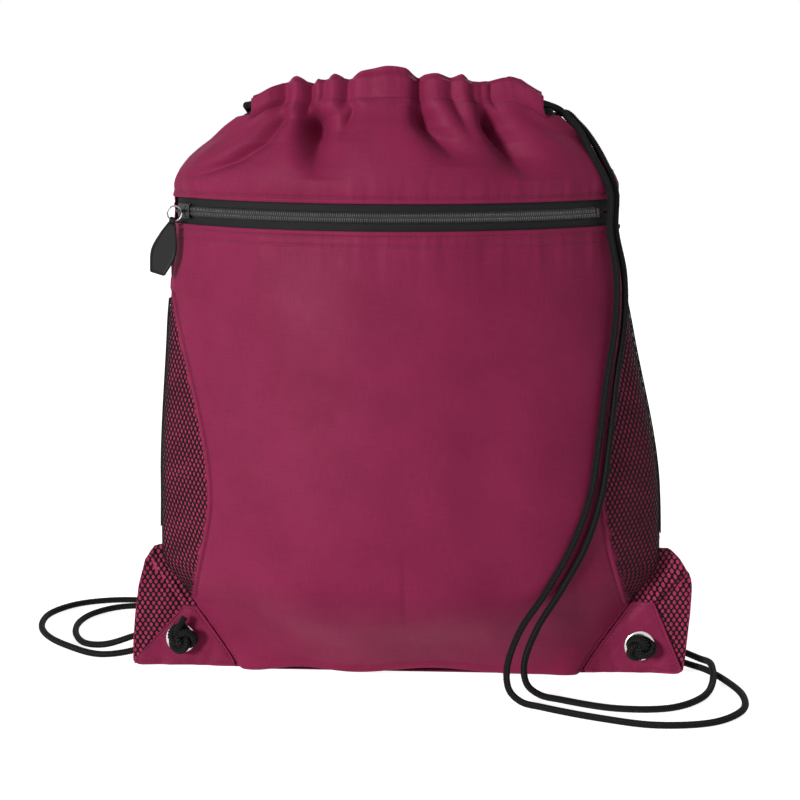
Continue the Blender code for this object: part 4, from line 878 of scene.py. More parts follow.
def round_the_eye(edge, rows, columns=120):
    """Rows of places from the rim of the eyelet's hole out to the edge, along rays from its middle: each
    ray ends at the nearest side of the edge that it meets."""
    turn = np.linspace(0, 2 * np.pi, columns, endpoint=False)
    ray = np.stack([np.cos(turn), np.sin(turn)], -1)[:, None]
    start, side = (edge - EYE)[None], (np.roll(edge, -1, 0) - edge)[None]
    cross = ray[..., 0] * side[..., 1] - ray[..., 1] * side[..., 0]
    cross = np.where(np.abs(cross) < 1e-12, 1e-12, cross)
    far = (start[..., 0] * side[..., 1] - start[..., 1] * side[..., 0]) / cross
    share = (start[..., 0] * ray[..., 1] - start[..., 1] * ray[..., 0]) / cross
    far = np.where((share >= 0) & (share <= 1) & (far > 0), far, 9.0).min(1)
    reach = EYELET_HOLE + (far - EYELET_HOLE) * np.linspace(0, 1, rows)[:, None]
    return EYE + reach[..., None] * ray[None, :, 0]


def within(edge, spots):
    """Which of the places lie inside the edge: those from which a level ray crosses it an odd number of
    times."""
    a, b = edge[None], np.roll(edge, -1, 0)[None]
    x, z = spots[:, None, 0], spots[:, None, 1]
    crossed = (a[..., 1] > z) != (b[..., 1] > z)
    climb = np.where(b[..., 1] == a[..., 1], 1e-12, b[..., 1] - a[..., 1])
    return (crossed & (x < (b[..., 0] - a[..., 0]) * (z - a[..., 1]) / climb + a[..., 0])).sum(1) % 2 == 1


def patch_edge(side):
    """The triangle of cloth in the flap's lower corner, cut across from the floor to the bag's side."""
    high = 0.0400 if side == "left" else 0.0470
    rises = np.linspace(high, 0.0030, 8)
    inner = np.stack([level(rises)["half_width"] + 0.0012, rises], -1)
    tip, shoulder = ((0.1718, 0.0026), 0.0085) if side == "left" else ((0.1684, 0.0030), 0.0140)
    outer = [(tip[0] - 0.0030, tip[1]), tip, (tip[0] - 0.0006, tip[1] + 0.0030)]
    return np.concatenate([[(0.1300, 0.0026)], outer, [(inner[0, 0] + shoulder, high)], inner])


for side, hand in SIDES:
    edge, patch = corner_edge(side), patch_edge(side)
    spot = round_the_eye(edge, 40)
    fall = corner_fall(side, spot[..., 0], spot[..., 1])
    leaf = np.stack([hand * spot[..., 0], fall - 0.0003, spot[..., 1]], -1)
    flap = add(f"{side}_corner_leaf", grid_mesh(f"{side}_corner_leaf", leaf, spot, ring=True, flip=hand > 0),
               LINING_NYLON, stands_for=[f"{side}_corner_flap"])
    thicken(flap)
    middle = lattice((28, 52), (0, 31))
    middle = middle[within(edge, middle) & ~within(patch, middle + (0.0006, 0.0006))]
    middle = middle[np.hypot(*(middle - EYE).T) > EYE_CLEAR]
    cell = net_cells(middle)
    up = np.clip(cell[..., 1], 0.0016, 0.0806)
    near = level(up)["half_width"] + SEAM
    outer = np.array(CORNERS[side][0])
    far = np.interp(up, outer[2:, 1], outer[2:, 0]) - 0.0002
    x = np.clip(cell[..., 0], near, np.maximum(far, near + 0.0002))
    for face, facing in FACES:
        y = corner_fall(side, x, up) + facing * (NET_OUT + cell[..., 2])
        places = np.stack([hand * x, y, up], -1)
        places = places if hand * facing < 0 else places[:, :, ::-1]
        net = add(f"{side}_corner_net_{face}", net_mesh(f"{side}_corner_net_{face}", places), BLACK_NET)

# Corner patches: a triangle of the maroon nylon on the front and back of each flap, its edges turned in
# and sewn down, that takes the pull of the cord through the eyelet.
PATCH_OUT, PATCH_STITCH = 0.0019, 0.0030
for side, hand in SIDES:
    edge = patch_edge(side)
    spot = round_the_eye(edge, 34, 160)
    out = np.linspace(0, 1, 34)[:, None]
    far = np.hypot(*(spot[-1] - EYE).T)[None] * (1 - out)
    hem = 0.00035 * np.exp(-((far - 0.0010) / 0.0009) ** 2)
    hem = hem - 0.00030 * np.exp(-((far - PATCH_STITCH) / 0.0005) ** 2)
    slack = 0.0002 * ripple(spot[..., 0] - spot[..., 1], 0.019, hand) * ease(out / 0.4)
    for face, facing in FACES:
        y = corner_fall(side, spot[..., 0], spot[..., 1]) + facing * (PATCH_OUT + hem + slack)
        leaf = np.stack([hand * spot[..., 0], y, spot[..., 1]], -1)
        title = f"{side}_patch_{face}"
        stood = f"{side}_corner_patch_{'front' if facing < 0 else 'back'}"
        piece = add(title, grid_mesh(title, leaf, spot, ring=True, flip=hand * facing < 0), MAROON_NYLON,
                    stands_for=[stood])
        thicken(piece, 0.0005)
        inset = EYE + (spot[-1] - EYE) * (1 - PATCH_STITCH / np.hypot(*(spot[-1] - EYE).T))[:, None]
        y = corner_fall(side, inset[:, 0], inset[:, 1]) + facing * PATCH_OUT
        line = np.stack([hand * inset[:, 0], y, inset[:, 1]], -1)
        normal = np.broadcast_to(np.array([0.0, facing, 0.0]), line.shape)
        sew(f"{title}_stitches", line, normal)

# Eyelets: nickel-plated brass, a flanged barrel pressed through the corner and rolled over a washer at
# the back. Both are turned forms.


def turned(name, profile, middle, steps=64):
    """A closed profile of (radius, place along Y) swung once round a level axis through the middle."""
    swing = np.linspace(0, 2 * np.pi, steps, endpoint=False)[:, None]
    profile = np.asarray(profile)
    x, z = middle[0] + profile[:, 0] * np.cos(swing), middle[1] + profile[:, 0] * np.sin(swing)
    points = np.stack(np.broadcast_arrays(x, profile[:, 1], z), -1)
    return grid_mesh(name, points, ring=True, loop=True)


def plated(name, colour, roughness):
    """Bright plating with a fine uneven relief and the patchy dulling of handling."""
    made, tree, shader = finish_of(name, roughness, 1.0)
    shader.inputs["Base Color"].default_value = (*colour, 1)
    spot = node(tree, "TexCoord").outputs["Object"]
    smear = node(tree, "TexNoise", {"Vector": spot, "Scale": 420.0, "Detail": 3.0}).outputs["Fac"]
    dulled(tree, shader, smear, roughness - 0.08, roughness + 0.14)
    relief(tree, shader, smear, 0.12, 0.0001)
    return made


NICKEL = plated("nickel_plate", (0.66, 0.64, 0.60), 0.24)
swing = np.radians(np.linspace(180, 0, 15))
crest = np.stack([0.0073 - 0.0022 * np.cos(swing), -0.0023 - 0.0011 * np.sin(swing) ** 0.8], -1)
barrel = [(0.0054, -0.0022), (0.0054, 0.0031), (0.0052, 0.0034), (0.0049, 0.0033), (0.0049, 0.0000)]
ring_back = [(0.0057, 0.0022), (0.0094, 0.0022), (0.0095, 0.0025), (0.0090, 0.0029), (0.0075, 0.0031),
             (0.0061, 0.0029), (0.0057, 0.0026)]
for side, hand in SIDES:
    middle = (hand * EYE[0], EYE[1])
    front = np.concatenate([barrel, [(0.0049, -0.0020)], crest, [(0.0095, -0.0021), (0.0075, -0.0020)]])
    eyelet = turned(f"{side}_eyelet", front, middle)
    add(f"{side}_eyelet", eyelet, NICKEL, stands_for=[f"{side}_grommet"])
    washer = turned(f"{side}_eyelet_washer", ring_back, middle)
    add(f"{side}_eyelet_washer", washer, NICKEL, stands_for=[f"{side}_grommet_washer"])

# Casing: the top of each panel turned over and sewn down as a sleeve. The drawn cords bunch it into
# pleats, and the turned edge above the cords stands up as a ruffle.
CASING_END, CASING_HEM, RIM_DROP = 0.858, 0.0030, 0.0062
CORD_TOP, MOUTH_RUN, WALL_ROWS = 0.0048, 0.1022, 20


def mouth_line(share, out, rise, facing):
    """Places along the mouth, that far out of its outline and above its edge."""
    half = level(np.array(MOUTH))["half"]
    place = on_bag(share * half, hung(share, np.full(np.shape(share), MOUTH)), out, facing)
    return place + np.stack(np.broadcast_arrays(0.0, 0.0, rise), -1)


def sleeve_out(share, facing):
    """How far out the middle of the sleeve lies: further where the cords come out of it, and in at the
    folds of the front."""
    fold = mouth_fold(share) * ease((0.78 - np.abs(share)) / 0.2) if facing < 0 else 0.0
    return MOUTH_OUT + 0.0018 * ease((np.abs(share) - 0.60) / 0.25) + fold


def sleeve_rise(share):
    """How far above the panel's edge the middle of the sleeve lies."""
    return 0.0068 - 0.7 * np.minimum(drop(share), MOUTH_DROP)


def sleeve(share, full, top, facing, shape):
    """The sleeve's section at each share as a closed loop: up the outer wall, which leaves the panel at
    the seam, is full over the cords and thin above them, over the fold and down the inner wall."""
    seam_at = np.full(share.shape, MOUTH - CASING_HEM)
    run = share * level(seam_at)["half"]
    seam = on_bag(run, hung(share, seam_at), shape(share, seam_at) + 0.0003, facing)
    share, full, top = share[:, None], full[:, None], top[:, None]
    up = np.linspace(0, 1, WALL_ROWS)
    hem = 0.0020 + sleeve_rise(share)
    rise = -hem + (top + hem) * up
    lean = GATHER * (full - 0.35)
    wide = 0.0026 + GATHER * full
    thin = 0.0014 + 0.0012 * ease(1 - (top - CORD_TOP) / 0.0035)
    foot, head = 0.0014 + GATHER * full, lean + thin
    low, high = ease((1 + rise / hem) / 0.5), ease((rise - 0.0040) / np.maximum(top - 0.0040, 0.001))
    fine = 0.00008 * ripple(share * MOUTH_RUN + 0.25 * rise, 0.0062, 1.7) * low
    outer = (foot + (wide - foot) * low) * (1 - high) + head * high + fine
    swing = np.linspace(0, np.pi, 9)[1:-1]
    crest_out = lean + thin * np.cos(swing)
    crest_rise = top + 0.8 * thin * np.sin(swing)
    inner = (-0.0016 - 0.0013 * low) * (1 - high) + (lean - thin) * high - fine
    out = np.concatenate([outer, crest_out, inner[:, ::-1]], 1)
    rise = np.concatenate([rise, crest_rise, rise[:, ::-1]], 1)
    out = out + sleeve_out(share, facing)
    loop = mouth_line(np.broadcast_to(share, out.shape), out, sleeve_rise(share) + rise, facing)
    left = ease(up / 0.30)[:, None]
    loop[:, :WALL_ROWS] = seam[:, None] * (1 - left) + loop[:, :WALL_ROWS] * left
    return loop


share = np.linspace(-CASING_END, CASING_END, 520)
tops = through(PLEAT_SHARES, [pleat[2] * 0.001 for pleat in FRONT_PLEATS], share)
tops = tops - RIM_DROP + 0.0018 * np.maximum(share, 0) + 1.8 * np.minimum(drop(share), MOUTH_DROP)
tops = np.maximum(tops, CORD_TOP)
front_loop = sleeve(share, front_gathers(share), tops, -1, upper_shape)
back_full = gathers(share, BACK_PLEATS)
back_loop = sleeve(share, back_full, CORD_TOP + 0.0050 * back_full, 1, back_shape)
for face, wall, flip in (("front", front_loop, True), ("back", back_loop, False)):
    around = np.cumsum(np.linalg.norm(np.diff(wall, axis=1, prepend=wall[:, -1:]), axis=-1), 1)
    flat = np.stack(np.broadcast_arrays(share[:, None] * HALF_CUT, around), -1)
    piece = add(f"{face}_sleeve", grid_mesh(f"{face}_sleeve", wall, flat, flip=flip, ring=True), MAROON_NYLON,
                stands_for=[f"{face}_casing"])
    thicken(piece, 0.0005)
line_share = np.linspace(-0.84, 0.84, 400)
up = np.full(400, MOUTH - CASING_HEM - 0.0012)
run = line_share * level(up)["half"]
line = on_bag(run, hung(line_share, up), upper_shape(line_share, up))
sew("casing_stitches", line, outward(run, up))

# Drawcords: 4.2 mm black polyester braid. Each goes once round the mouth in the casing and comes out at
# its own side; here is the part of each that lies in the casing.
CORD, PICK, CORD_LANE, FAR_BEND = 0.0042, 0.00135, 0.0023, 0.93


def evenly(points, step):
    """The same line with places a step apart."""
    along = lengths(points)
    at = np.linspace(0, along[-1], max(int(round(along[-1] / step)), 2) + 1)
    return np.stack([np.interp(at, along, points[:, k]) for k in range(3)], -1)


def braided(points, diameter, carriers=4, around=24):
    """Rings round a line. The braid's yarns run both ways round the cord; where they cross they pass over
    and under by turns, and the upper one stands out as a small rounded rib."""
    run = unit(np.gradient(points, axis=0))
    along = lengths(points)
    picked = np.unique(np.append(np.arange(0, len(points), 12), len(points) - 1))
    carried = [np.cross(run[0], (0.31, 0.87, 0.38))]
    for i in picked[1:]:
        carried.append(carried[-1] - run[i] * (carried[-1] @ run[i]))
    carried = unit(np.array(carried))
    across = np.stack([np.interp(np.arange(len(points)), picked, carried[:, k]) for k in range(3)], -1)
    across = unit(across - run * np.sum(across * run, axis=1, keepdims=True))
    beside = np.cross(run, across)
    turn = np.linspace(0, 2 * np.pi, around, endpoint=False)
    one = carriers * turn / (2 * np.pi) + along[:, None] / PICK
    other = carriers * turn / (2 * np.pi) - along[:, None] / PICK
    over = (np.floor(one) + np.floor(other)) % 2 == 0
    rib, length = np.where(over, one, other) % 1, np.where(over, other, one) % 1
    rise = np.sin(np.pi * rib) ** 0.7 * (0.45 + 0.55 * np.sin(np.pi * length))
    radius = diameter / 2 * (0.80 + 0.24 * rise)
    ring = across[:, None] * np.cos(turn)[:, None] + beside[:, None] * np.sin(turn)[:, None]
    return points[:, None] + ring * radius[..., None], np.stack([rise, np.where(over, 0.0, 1.0)], -1)


def cord_mesh(name, points, diameter=CORD, closed=False):
    """The braid round a line of places as a mesh. Its UV map holds each place's height on the rib and
    which way the rib runs."""
    return grid_mesh(name, *braided(points, diameter), ring=True, caps=not closed, loop=closed)


def braid(name, light, dark):
    """Black polyester yarn with painted light: each rib of the braid is painted lighter along its crest as a
    painted highlight, less so on the ribs that run one way, and the dips are painted black as shade.
    """
    made, tree, shader = finish_of(name, 0.42)
    part = node(tree, "SeparateXYZ", {0: node(tree, "UVMap", uv_map="flat").outputs[0]}).outputs
    spot = node(tree, "TexCoord").outputs["Object"]
    fuzz = node(tree, "TexNoise", {"Vector": spot, "Scale": 2200.0, "Detail": 2.0}).outputs["Fac"]
    crest = work_out(tree, "POWER", part[0], 4.0)
    crest = work_out(tree, "MULTIPLY", crest, work_out(tree, "MULTIPLY_ADD", part[1], -0.45, 1.0))
    # the crest colour is a painted highlight and the black of the dips is painted shade
    tint(tree, shader, crest, dark, light)
    shader.inputs["Specular IOR Level"].default_value = 0.12
    dulled(tree, shader, crest, 0.85, 0.45)
    relief(tree, shader, fuzz, 0.3, 0.0001)
    return made


# the lighter colour here is the painted highlight on the rib crests
BLACK_CORD = braid("black_cord", (0.060, 0.060, 0.062), (0.0010, 0.0010, 0.0011))
for side, hand in SIDES:
    there = np.linspace(CASING_END, -FAR_BEND, 90) * hand
    front, back = (
        mouth_line(at, sleeve_out(at, facing), sleeve_rise(at) + hand * CORD_LANE, facing)
        for at, facing in ((there, -1), (there[::-1], 1))
    )
    line = evenly(np.concatenate([front, back[1:]]), 0.0006)
    add(f"{side}_hidden_cord", cord_mesh(f"{side}_hidden_cord", line), BLACK_CORD,
        stands_for=[f"{side}_cord_in_casing"])

# Knots: both ends of each cord are tied together in an overhand knot in front of the eyelet, which they
# come through side by side from behind.
KNOT_MIDDLE, KNOT_RADIUS, KNOT_SWELL, KNOT_DEPTH = -0.0079, 0.00455, 0.0020, 0.0023
WRAP_CORD, CORE_CORD, LEG_RISE = 0.0046, 0.0050, 0.00225
t = np.linspace(0, 2 * np.pi, 400, endpoint=False)
radius = KNOT_RADIUS + KNOT_SWELL * np.cos(3 * t)
wraps = np.stack([radius * np.cos(2 * t), KNOT_DEPTH * np.sin(3 * t), radius * np.sin(2 * t)], -1)


def smooth_route(spots):
    """A centripetal Catmull-Rom curve through the places: between two of them it mixes the lines through
    the four nearest, each weighted by the square root of the distances."""
    spots = np.asarray(spots)
    ends = np.vstack([2 * spots[0] - spots[1], spots, 2 * spots[-1] - spots[-2]])
    a, b, c, d = (ends[i:len(ends) - 3 + i, None] for i in range(4))
    steps = [np.linalg.norm(q - p, axis=-1, keepdims=True) ** 0.5 for p, q in ((a, b), (b, c), (c, d))]
    one, two, three = steps[0], steps[0] + steps[1], sum(steps)
    t = one + (two - one) * np.linspace(0, 1, 24, endpoint=False)[None, :, None]
    ab = ((one - t) * a + t * b) / one
    bc = ((two - t) * b + (t - one) * c) / (two - one)
    cd = ((three - t) * c + (t - two) * d) / (three - two)
    abc = ((two - t) * ab + t * bc) / two
    bcd = ((three - t) * bc + (t - one) * cd) / (three - one)
    curve = ((two - t) * abc + (t - one) * bcd) / (two - one)
    return np.vstack([curve.reshape(-1, 3), spots[-1]])


def joined(name, *meshes):
    """One mesh made of several, with places that fall together merged."""
    whole = bmesh.new()
    for mesh in meshes:
        whole.from_mesh(mesh)
        bpy.data.meshes.remove(mesh)
    bmesh.ops.remove_doubles(whole, verts=whole.verts, dist=1e-6)
    made = bpy.data.meshes.new(name)
    whole.to_mesh(made)
    whole.free()
    made.shade_smooth()
    return made


for side, hand in SIDES:
    middle = np.array([hand * EYE[0], KNOT_MIDDLE, EYE[1]])
    aside, swell = ((0, 0, 0), (1.20, 1.0, 0.98)) if hand > 0 else ((0.0014, 0, 0.0012), (1.20, 1.0, -1.18))
    tied = middle + aside + wraps * swell
    tied = evenly(np.vstack([tied, tied[:1]]), 0.0003)[:-1]
    core = middle + np.array([(0.0020 * hand, 0, 0.0035), (0, -0.0026, 0), (-0.0020 * hand, 0, -0.0035)])
    meshes = [cord_mesh("wraps", tied, WRAP_CORD, closed=True),
              cord_mesh("core", evenly(smooth_route(core), 0.0004), CORE_CORD)]
    for rise in (LEG_RISE, -LEG_RISE):
        leg = np.array([(hand * EYE[0], y, EYE[1] + rise) for y in (KNOT_MIDDLE, 0.0048)])
        meshes.append(cord_mesh("leg", evenly(leg, 0.0005)))
    if hand < 0:
        end = middle + np.array([(-0.0030, -0.0008, 0.0020), (-0.0012, -0.0020, 0.0070),
                                 (0.0012, -0.0016, 0.0112), (0.0036, -0.0004, 0.0152)])
        meshes.append(cord_mesh("end", evenly(smooth_route(end), 0.0004)))
    add(f"{side}_tied_knot", joined(f"{side}_tied_knot", *meshes), BLACK_CORD,
                      body=f"{side}_knot_body", stands_for=[f"{side}_knot"])

# Free strands: the same two braided cords outside the casing. Two strands leave each side of the mouth,
# run down the bag, lie in loops on the floor and come back up through the eyelet to the knot.
STRANDS = {  # the lie of each strand, from the casing, down the bag, over the floor and up to its knot
    "left_strand_back": [
        (-0.0929, 0.0074, 0.3493), (-0.1033, 0.0049, 0.3484), (-0.1124, 0.0085, 0.3402),
        (-0.1186, 0.0137, 0.3278), (-0.1275, 0.0159, 0.3145), (-0.1360, 0.0160, 0.2990),
        (-0.1365, 0.0150, 0.2760), (-0.1403, 0.0166, 0.2500), (-0.1374, 0.0245, 0.2220),
        (-0.1278, 0.0341, 0.1900), (-0.1186, 0.0424, 0.1550), (-0.1103, 0.0485, 0.1220),
        (-0.0987, 0.0530, 0.0920), (-0.0837, 0.0560, 0.0650), (-0.0693, 0.0605, 0.0430),
        (-0.0640, 0.0660, 0.0220), (-0.0670, 0.0750, 0.0090), (-0.0770, 0.0860, 0.0035),
        (-0.1000, 0.1080, 0.0024), (-0.1350, 0.1340, 0.0024), (-0.1750, 0.1510, 0.0024),
        (-0.2110, 0.1550, 0.0024), (-0.2370, 0.1430, 0.0024), (-0.2510, 0.1180, 0.0024),
        (-0.2510, 0.0880, 0.0024), (-0.2420, 0.0620, 0.0024), (-0.2240, 0.0380, 0.0024),
        (-0.1970, 0.0180, 0.0024), (-0.1760, 0.0175, 0.0055), (-0.1590, 0.0225, 0.0110),
        (-0.1465, 0.0200, 0.0155), (-0.1422, 0.0125, 0.0170), (-0.1420, 0.0055, 0.0173),
    ],
    "left_strand_front": [
        (-0.0929, -0.0074, 0.3541), (-0.1033, -0.0045, 0.3527), (-0.1146, 0.0010, 0.3421),
        (-0.1226, 0.0062, 0.3300), (-0.1316, 0.0086, 0.3171), (-0.1395, 0.0110, 0.2990),
        (-0.1400, 0.0105, 0.2760), (-0.1445, 0.0111, 0.2500), (-0.1427, 0.0190, 0.2220),
        (-0.1336, 0.0291, 0.1900), (-0.1250, 0.0379, 0.1550), (-0.1173, 0.0440, 0.1220),
        (-0.1072, 0.0485, 0.0920), (-0.0927, 0.0515, 0.0650), (-0.0793, 0.0555, 0.0430),
        (-0.0740, 0.0600, 0.0220), (-0.0770, 0.0670, 0.0090), (-0.0860, 0.0770, 0.0035),
        (-0.1080, 0.0990, 0.0024), (-0.1420, 0.1240, 0.0024), (-0.1780, 0.1390, 0.0024),
        (-0.2050, 0.1370, 0.0024), (-0.2210, 0.1200, 0.0024), (-0.2270, 0.0950, 0.0024),
        (-0.2230, 0.0650, 0.0024), (-0.2110, 0.0390, 0.0035), (-0.1930, 0.0220, 0.0082),
        (-0.1740, 0.0195, 0.0150), (-0.1570, 0.0235, 0.0195), (-0.1460, 0.0195, 0.0212),
        (-0.1422, 0.0125, 0.0217), (-0.1420, 0.0055, 0.0217),
    ],
    "right_strand_back": [
        (0.0759, 0.0074, 0.3545), (0.0865, 0.0037, 0.3545), (0.0976, -0.0017, 0.3443),
        (0.1059, -0.0062, 0.3321), (0.1146, -0.0086, 0.3179), (0.1225, -0.0110, 0.2990),
        (0.1230, -0.0105, 0.2760), (0.1283, -0.0111, 0.2500), (0.1287, -0.0190, 0.2220),
        (0.1244, -0.0291, 0.1900), (0.1207, -0.0379, 0.1550), (0.1162, -0.0440, 0.1220),
        (0.1068, -0.0485, 0.0920), (0.0923, -0.0515, 0.0650), (0.0787, -0.0550, 0.0430),
        (0.0715, -0.0575, 0.0220), (0.0735, -0.0575, 0.0100), (0.0810, -0.0575, 0.0040),
        (0.0930, -0.0610, 0.0024), (0.1257, -0.0764, 0.0024), (0.1560, -0.0740, 0.0024),
        (0.1760, -0.0530, 0.0024), (0.1850, -0.0250, 0.0035), (0.1862, 0.0020, 0.0074),
        (0.1800, 0.0280, 0.0040), (0.1670, 0.0420, 0.0060), (0.1530, 0.0380, 0.0140),
        (0.1450, 0.0260, 0.0200), (0.1422, 0.0130, 0.0216), (0.1420, 0.0055, 0.0217),
    ],
    "right_strand_front": [
        (0.0759, -0.0074, 0.3593), (0.0862, -0.0048, 0.3582), (0.0949, -0.0086, 0.3460),
        (0.1013, -0.0137, 0.3314), (0.1103, -0.0158, 0.3160), (0.1190, -0.0160, 0.2990),
        (0.1195, -0.0150, 0.2760), (0.1238, -0.0166, 0.2500), (0.1234, -0.0245, 0.2220),
        (0.1185, -0.0341, 0.1900), (0.1143, -0.0424, 0.1550), (0.1092, -0.0485, 0.1220),
        (0.0983, -0.0530, 0.0920), (0.0833, -0.0560, 0.0650), (0.0687, -0.0605, 0.0430),
        (0.0615, -0.0655, 0.0220), (0.0630, -0.0690, 0.0100), (0.0700, -0.0720, 0.0040),
        (0.0820, -0.0765, 0.0024), (0.1149, -0.0954, 0.0024), (0.1468, -0.1066, 0.0024),
        (0.1790, -0.0998, 0.0024), (0.1980, -0.0760, 0.0024), (0.2013, -0.0470, 0.0024),
        (0.1938, -0.0162, 0.0024), (0.1830, 0.0080, 0.0024), (0.1700, 0.0200, 0.0035),
        (0.1560, 0.0240, 0.0090), (0.1460, 0.0200, 0.0150), (0.1422, 0.0125, 0.0171),
        (0.1420, 0.0055, 0.0173),
    ],
}
TAIL = 0.030
for name, spots in STRANDS.items():
    side, face = name.split("_strand_")
    spots = np.array(spots)
    hand, facing = (-1 if side == "left" else 1), (-1 if face == "front" else 1)
    mouth_end = np.array([hand * CASING_END])
    rise = sleeve_rise(mouth_end) + hand * CORD_LANE
    spots[0] = mouth_line(mouth_end, sleeve_out(mouth_end, facing), rise, facing)[0]
    if side == "left":  # laid behind the shoulder
        up = np.array([0.3390, 0.3335, 0.3260, 0.3165])
        back = np.array([0.010, 0.017, 0.018, 0.012]) + (0.0055 if face == "back" else 0.0)
        spots[1:5] = on_bag(back - level(up)["half"], up, CORD * 0.62, 1)
    else:  # laid on the front corner
        up = np.array([0.3420, 0.3370, 0.3310])
        spots[1:4] = on_bag(level(up)["half"] - (0.0105 if face == "front" else 0.0046), up, CORD * 0.66, -1)
    line = evenly(smooth_route(spots), 0.0004)
    along = lengths(line)
    last = int(np.searchsorted(along, along[-1] - TAIL))
    title = f"{side}_free_cord_{face}"
    cord = add(title, cord_mesh(title, line[:last + 1]), BLACK_CORD, stands_for=[name])
    tail = add(f"{title}_tail", cord_mesh(f"{title}_tail", line[last - 1:]), BLACK_CORD, body=None)
    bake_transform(tail)

# Zip slider: a die-cast body in black lacquer. Its cap rides over the coil between two rails, and a
# bridge on top holds the ring.
SLIDER_TURN = math.radians(-46.01)
COIL_TOP = COIL_FOOT + 0.0018


def pebble(middle, size, power=0.28):
    """A block with well rounded edges: a ball whose sines and cosines are raised to a small power."""
    up, turn = np.linspace(-np.pi / 2, np.pi / 2, 19)[:, None], np.linspace(0, 2 * np.pi, 36, endpoint=False)
    cosine = np.abs(np.cos(up)) ** power
    form = np.broadcast_arrays(cosine * np.sign(np.cos(turn)) * np.abs(np.cos(turn)) ** power,
                               cosine * np.sign(np.sin(turn)) * np.abs(np.sin(turn)) ** power,
                               np.sign(np.sin(up)) * np.abs(np.sin(up)) ** power)
    return np.array(middle) + np.stack(form, -1) * np.array(size) / 2


def on_slider(places):
    """Places along the zip, out from the tape's axis and up, put where the slider stands."""
    along = np.array([math.cos(SLIDER_TURN), math.sin(SLIDER_TURN), 0])
    out = np.array([math.sin(SLIDER_TURN), -math.cos(SLIDER_TURN), 0])
    return ZIP_MIDDLE + places[..., :1] * along + places[..., 1:2] * out + places[..., 2:] * (0, 0, 1)


BLACK_LACQUER = moulded("black_lacquer", (0.020, 0.020, 0.021), (0.010, 0.010, 0.011), 0.26)
blocks = [
    ((0, COIL_TOP + 0.0009, 0), (0.0110, 0.0012, 0.0086)),
    ((0, COIL_FOOT + 0.0012, 0.0039), (0.0104, 0.0026, 0.0010)),
    ((0, COIL_FOOT + 0.0012, -0.0039), (0.0104, 0.0026, 0.0010)),
    ((-0.0023, COIL_TOP + 0.0030, 0), (0.0010, 0.0034, 0.0016)),
    ((0.0023, COIL_TOP + 0.0030, 0), (0.0010, 0.0034, 0.0016)),
    ((0, COIL_TOP + 0.0042, 0), (0.0056, 0.0010, 0.0016)),
]
meshes = [grid_mesh("block", on_slider(pebble(*block)), ring=True) for block in blocks]
add("slider_casting", joined("slider_casting", *meshes), BLACK_LACQUER, body="slider",
    stands_for=["zip_slider"])

# Wire ring: a round ring of dark plated wire, closed through the slider's bridge, that the tab hangs on.
RING_MIDDLE = np.array([-0.13935, -0.01555, 0.2845])
RING_RADIUS, WIRE = 0.0044, 0.0011
DARK_WIRE = plated("dark_wire", (0.30, 0.29, 0.285), 0.30)
swing = np.linspace(0, 2 * np.pi, 96, endpoint=False)[:, None]
round_wire = np.linspace(0, 2 * np.pi, 20, endpoint=False)
reach = RING_RADIUS + WIRE / 2 * np.cos(round_wire)
bent = np.stack(np.broadcast_arrays(
    reach * np.cos(swing), WIRE / 2 * np.sin(round_wire), reach * np.sin(swing)), -1)
add("wire_ring", grid_mesh("wire_ring", RING_MIDDLE + bent, ring=True, loop=True, flip=True), DARK_WIRE,
    body="ring", stands_for=["pull_ring"])

# Pull tab: a leaf moulded in soft black plastic, with a raised rim round a flat plain face, and a loop
# moulded round the ring at its narrow end.
HANG = np.array([-0.2924, 0.0, -0.9563])
ACROSS = np.array([-0.9563, 0.0, 0.2924])
TAB_START, TAB_LENGTH, TAB_RIM, TAB_RECESS = 0.006035, 0.0320, 0.0012, 0.0004
TAB_HALF, TAB_EDGE, TAB_CORNER = 0.0010, 0.0005, 0.0012
LOOP_REACH, LOOP_WALL, HALF_LOOP = 0.001635, 0.0004, 0.0018


def hanging(places):
    """Places across the tab, behind its middle and along it, put where the tab hangs from the ring."""
    return RING_MIDDLE + places[..., :1] * ACROSS + places[..., 1:2] * (0, 1, 0) + places[..., 2:] * HANG


down = [np.linspace(0, 0.0010, 6), np.linspace(0.0013, 0.0306, 70), np.linspace(0.0309, TAB_LENGTH, 8)]
down = np.concatenate(down)[:, None]
half = through((0, 0.24, 0.58, 1), (0.0022, 0.0052, 0.0076, 0.00465), down / TAB_LENGTH)
end_left = np.minimum(TAB_LENGTH - down, TAB_CORNER)
half = half - TAB_CORNER + np.sqrt(np.maximum(TAB_CORNER**2 - (TAB_CORNER - end_left) ** 2, 0))
face = np.sin(np.linspace(-1, 1, 61) * np.pi / 2) * 0.5 + np.linspace(-1, 1, 61) * 0.5
from_edge = np.minimum(np.minimum(half * (1 - np.abs(face)), down - 0.0002), TAB_LENGTH - down)
round_edge = TAB_EDGE * (1 - np.sqrt(np.clip(1 - (1 - np.clip(from_edge / TAB_EDGE, 0, 1)) ** 2, 0, 1)))
hollow = ease((from_edge - TAB_RIM) / 0.0003)
front = -TAB_HALF + round_edge + TAB_RECESS * hollow
rear = TAB_HALF - round_edge
along = np.broadcast_to(TAB_START + down, front.shape)
tab = np.concatenate([np.stack([half * face, front, along], -1),
                      np.stack([half * face, rear, along], -1)[:, ::-1]], 1)
chart = np.concatenate([np.stack([hollow, along], -1), np.stack([0 * hollow, along], -1)], 1)
swing = np.linspace(0, 2 * np.pi, 48, endpoint=False)[:, None]
corner = np.radians(np.linspace(0, 360, 24, endpoint=False))
power = np.sign([np.cos(corner), np.sin(corner)]) * np.abs([np.cos(corner), np.sin(corner)]) ** 0.5
reach = LOOP_REACH + LOOP_WALL * power[0]
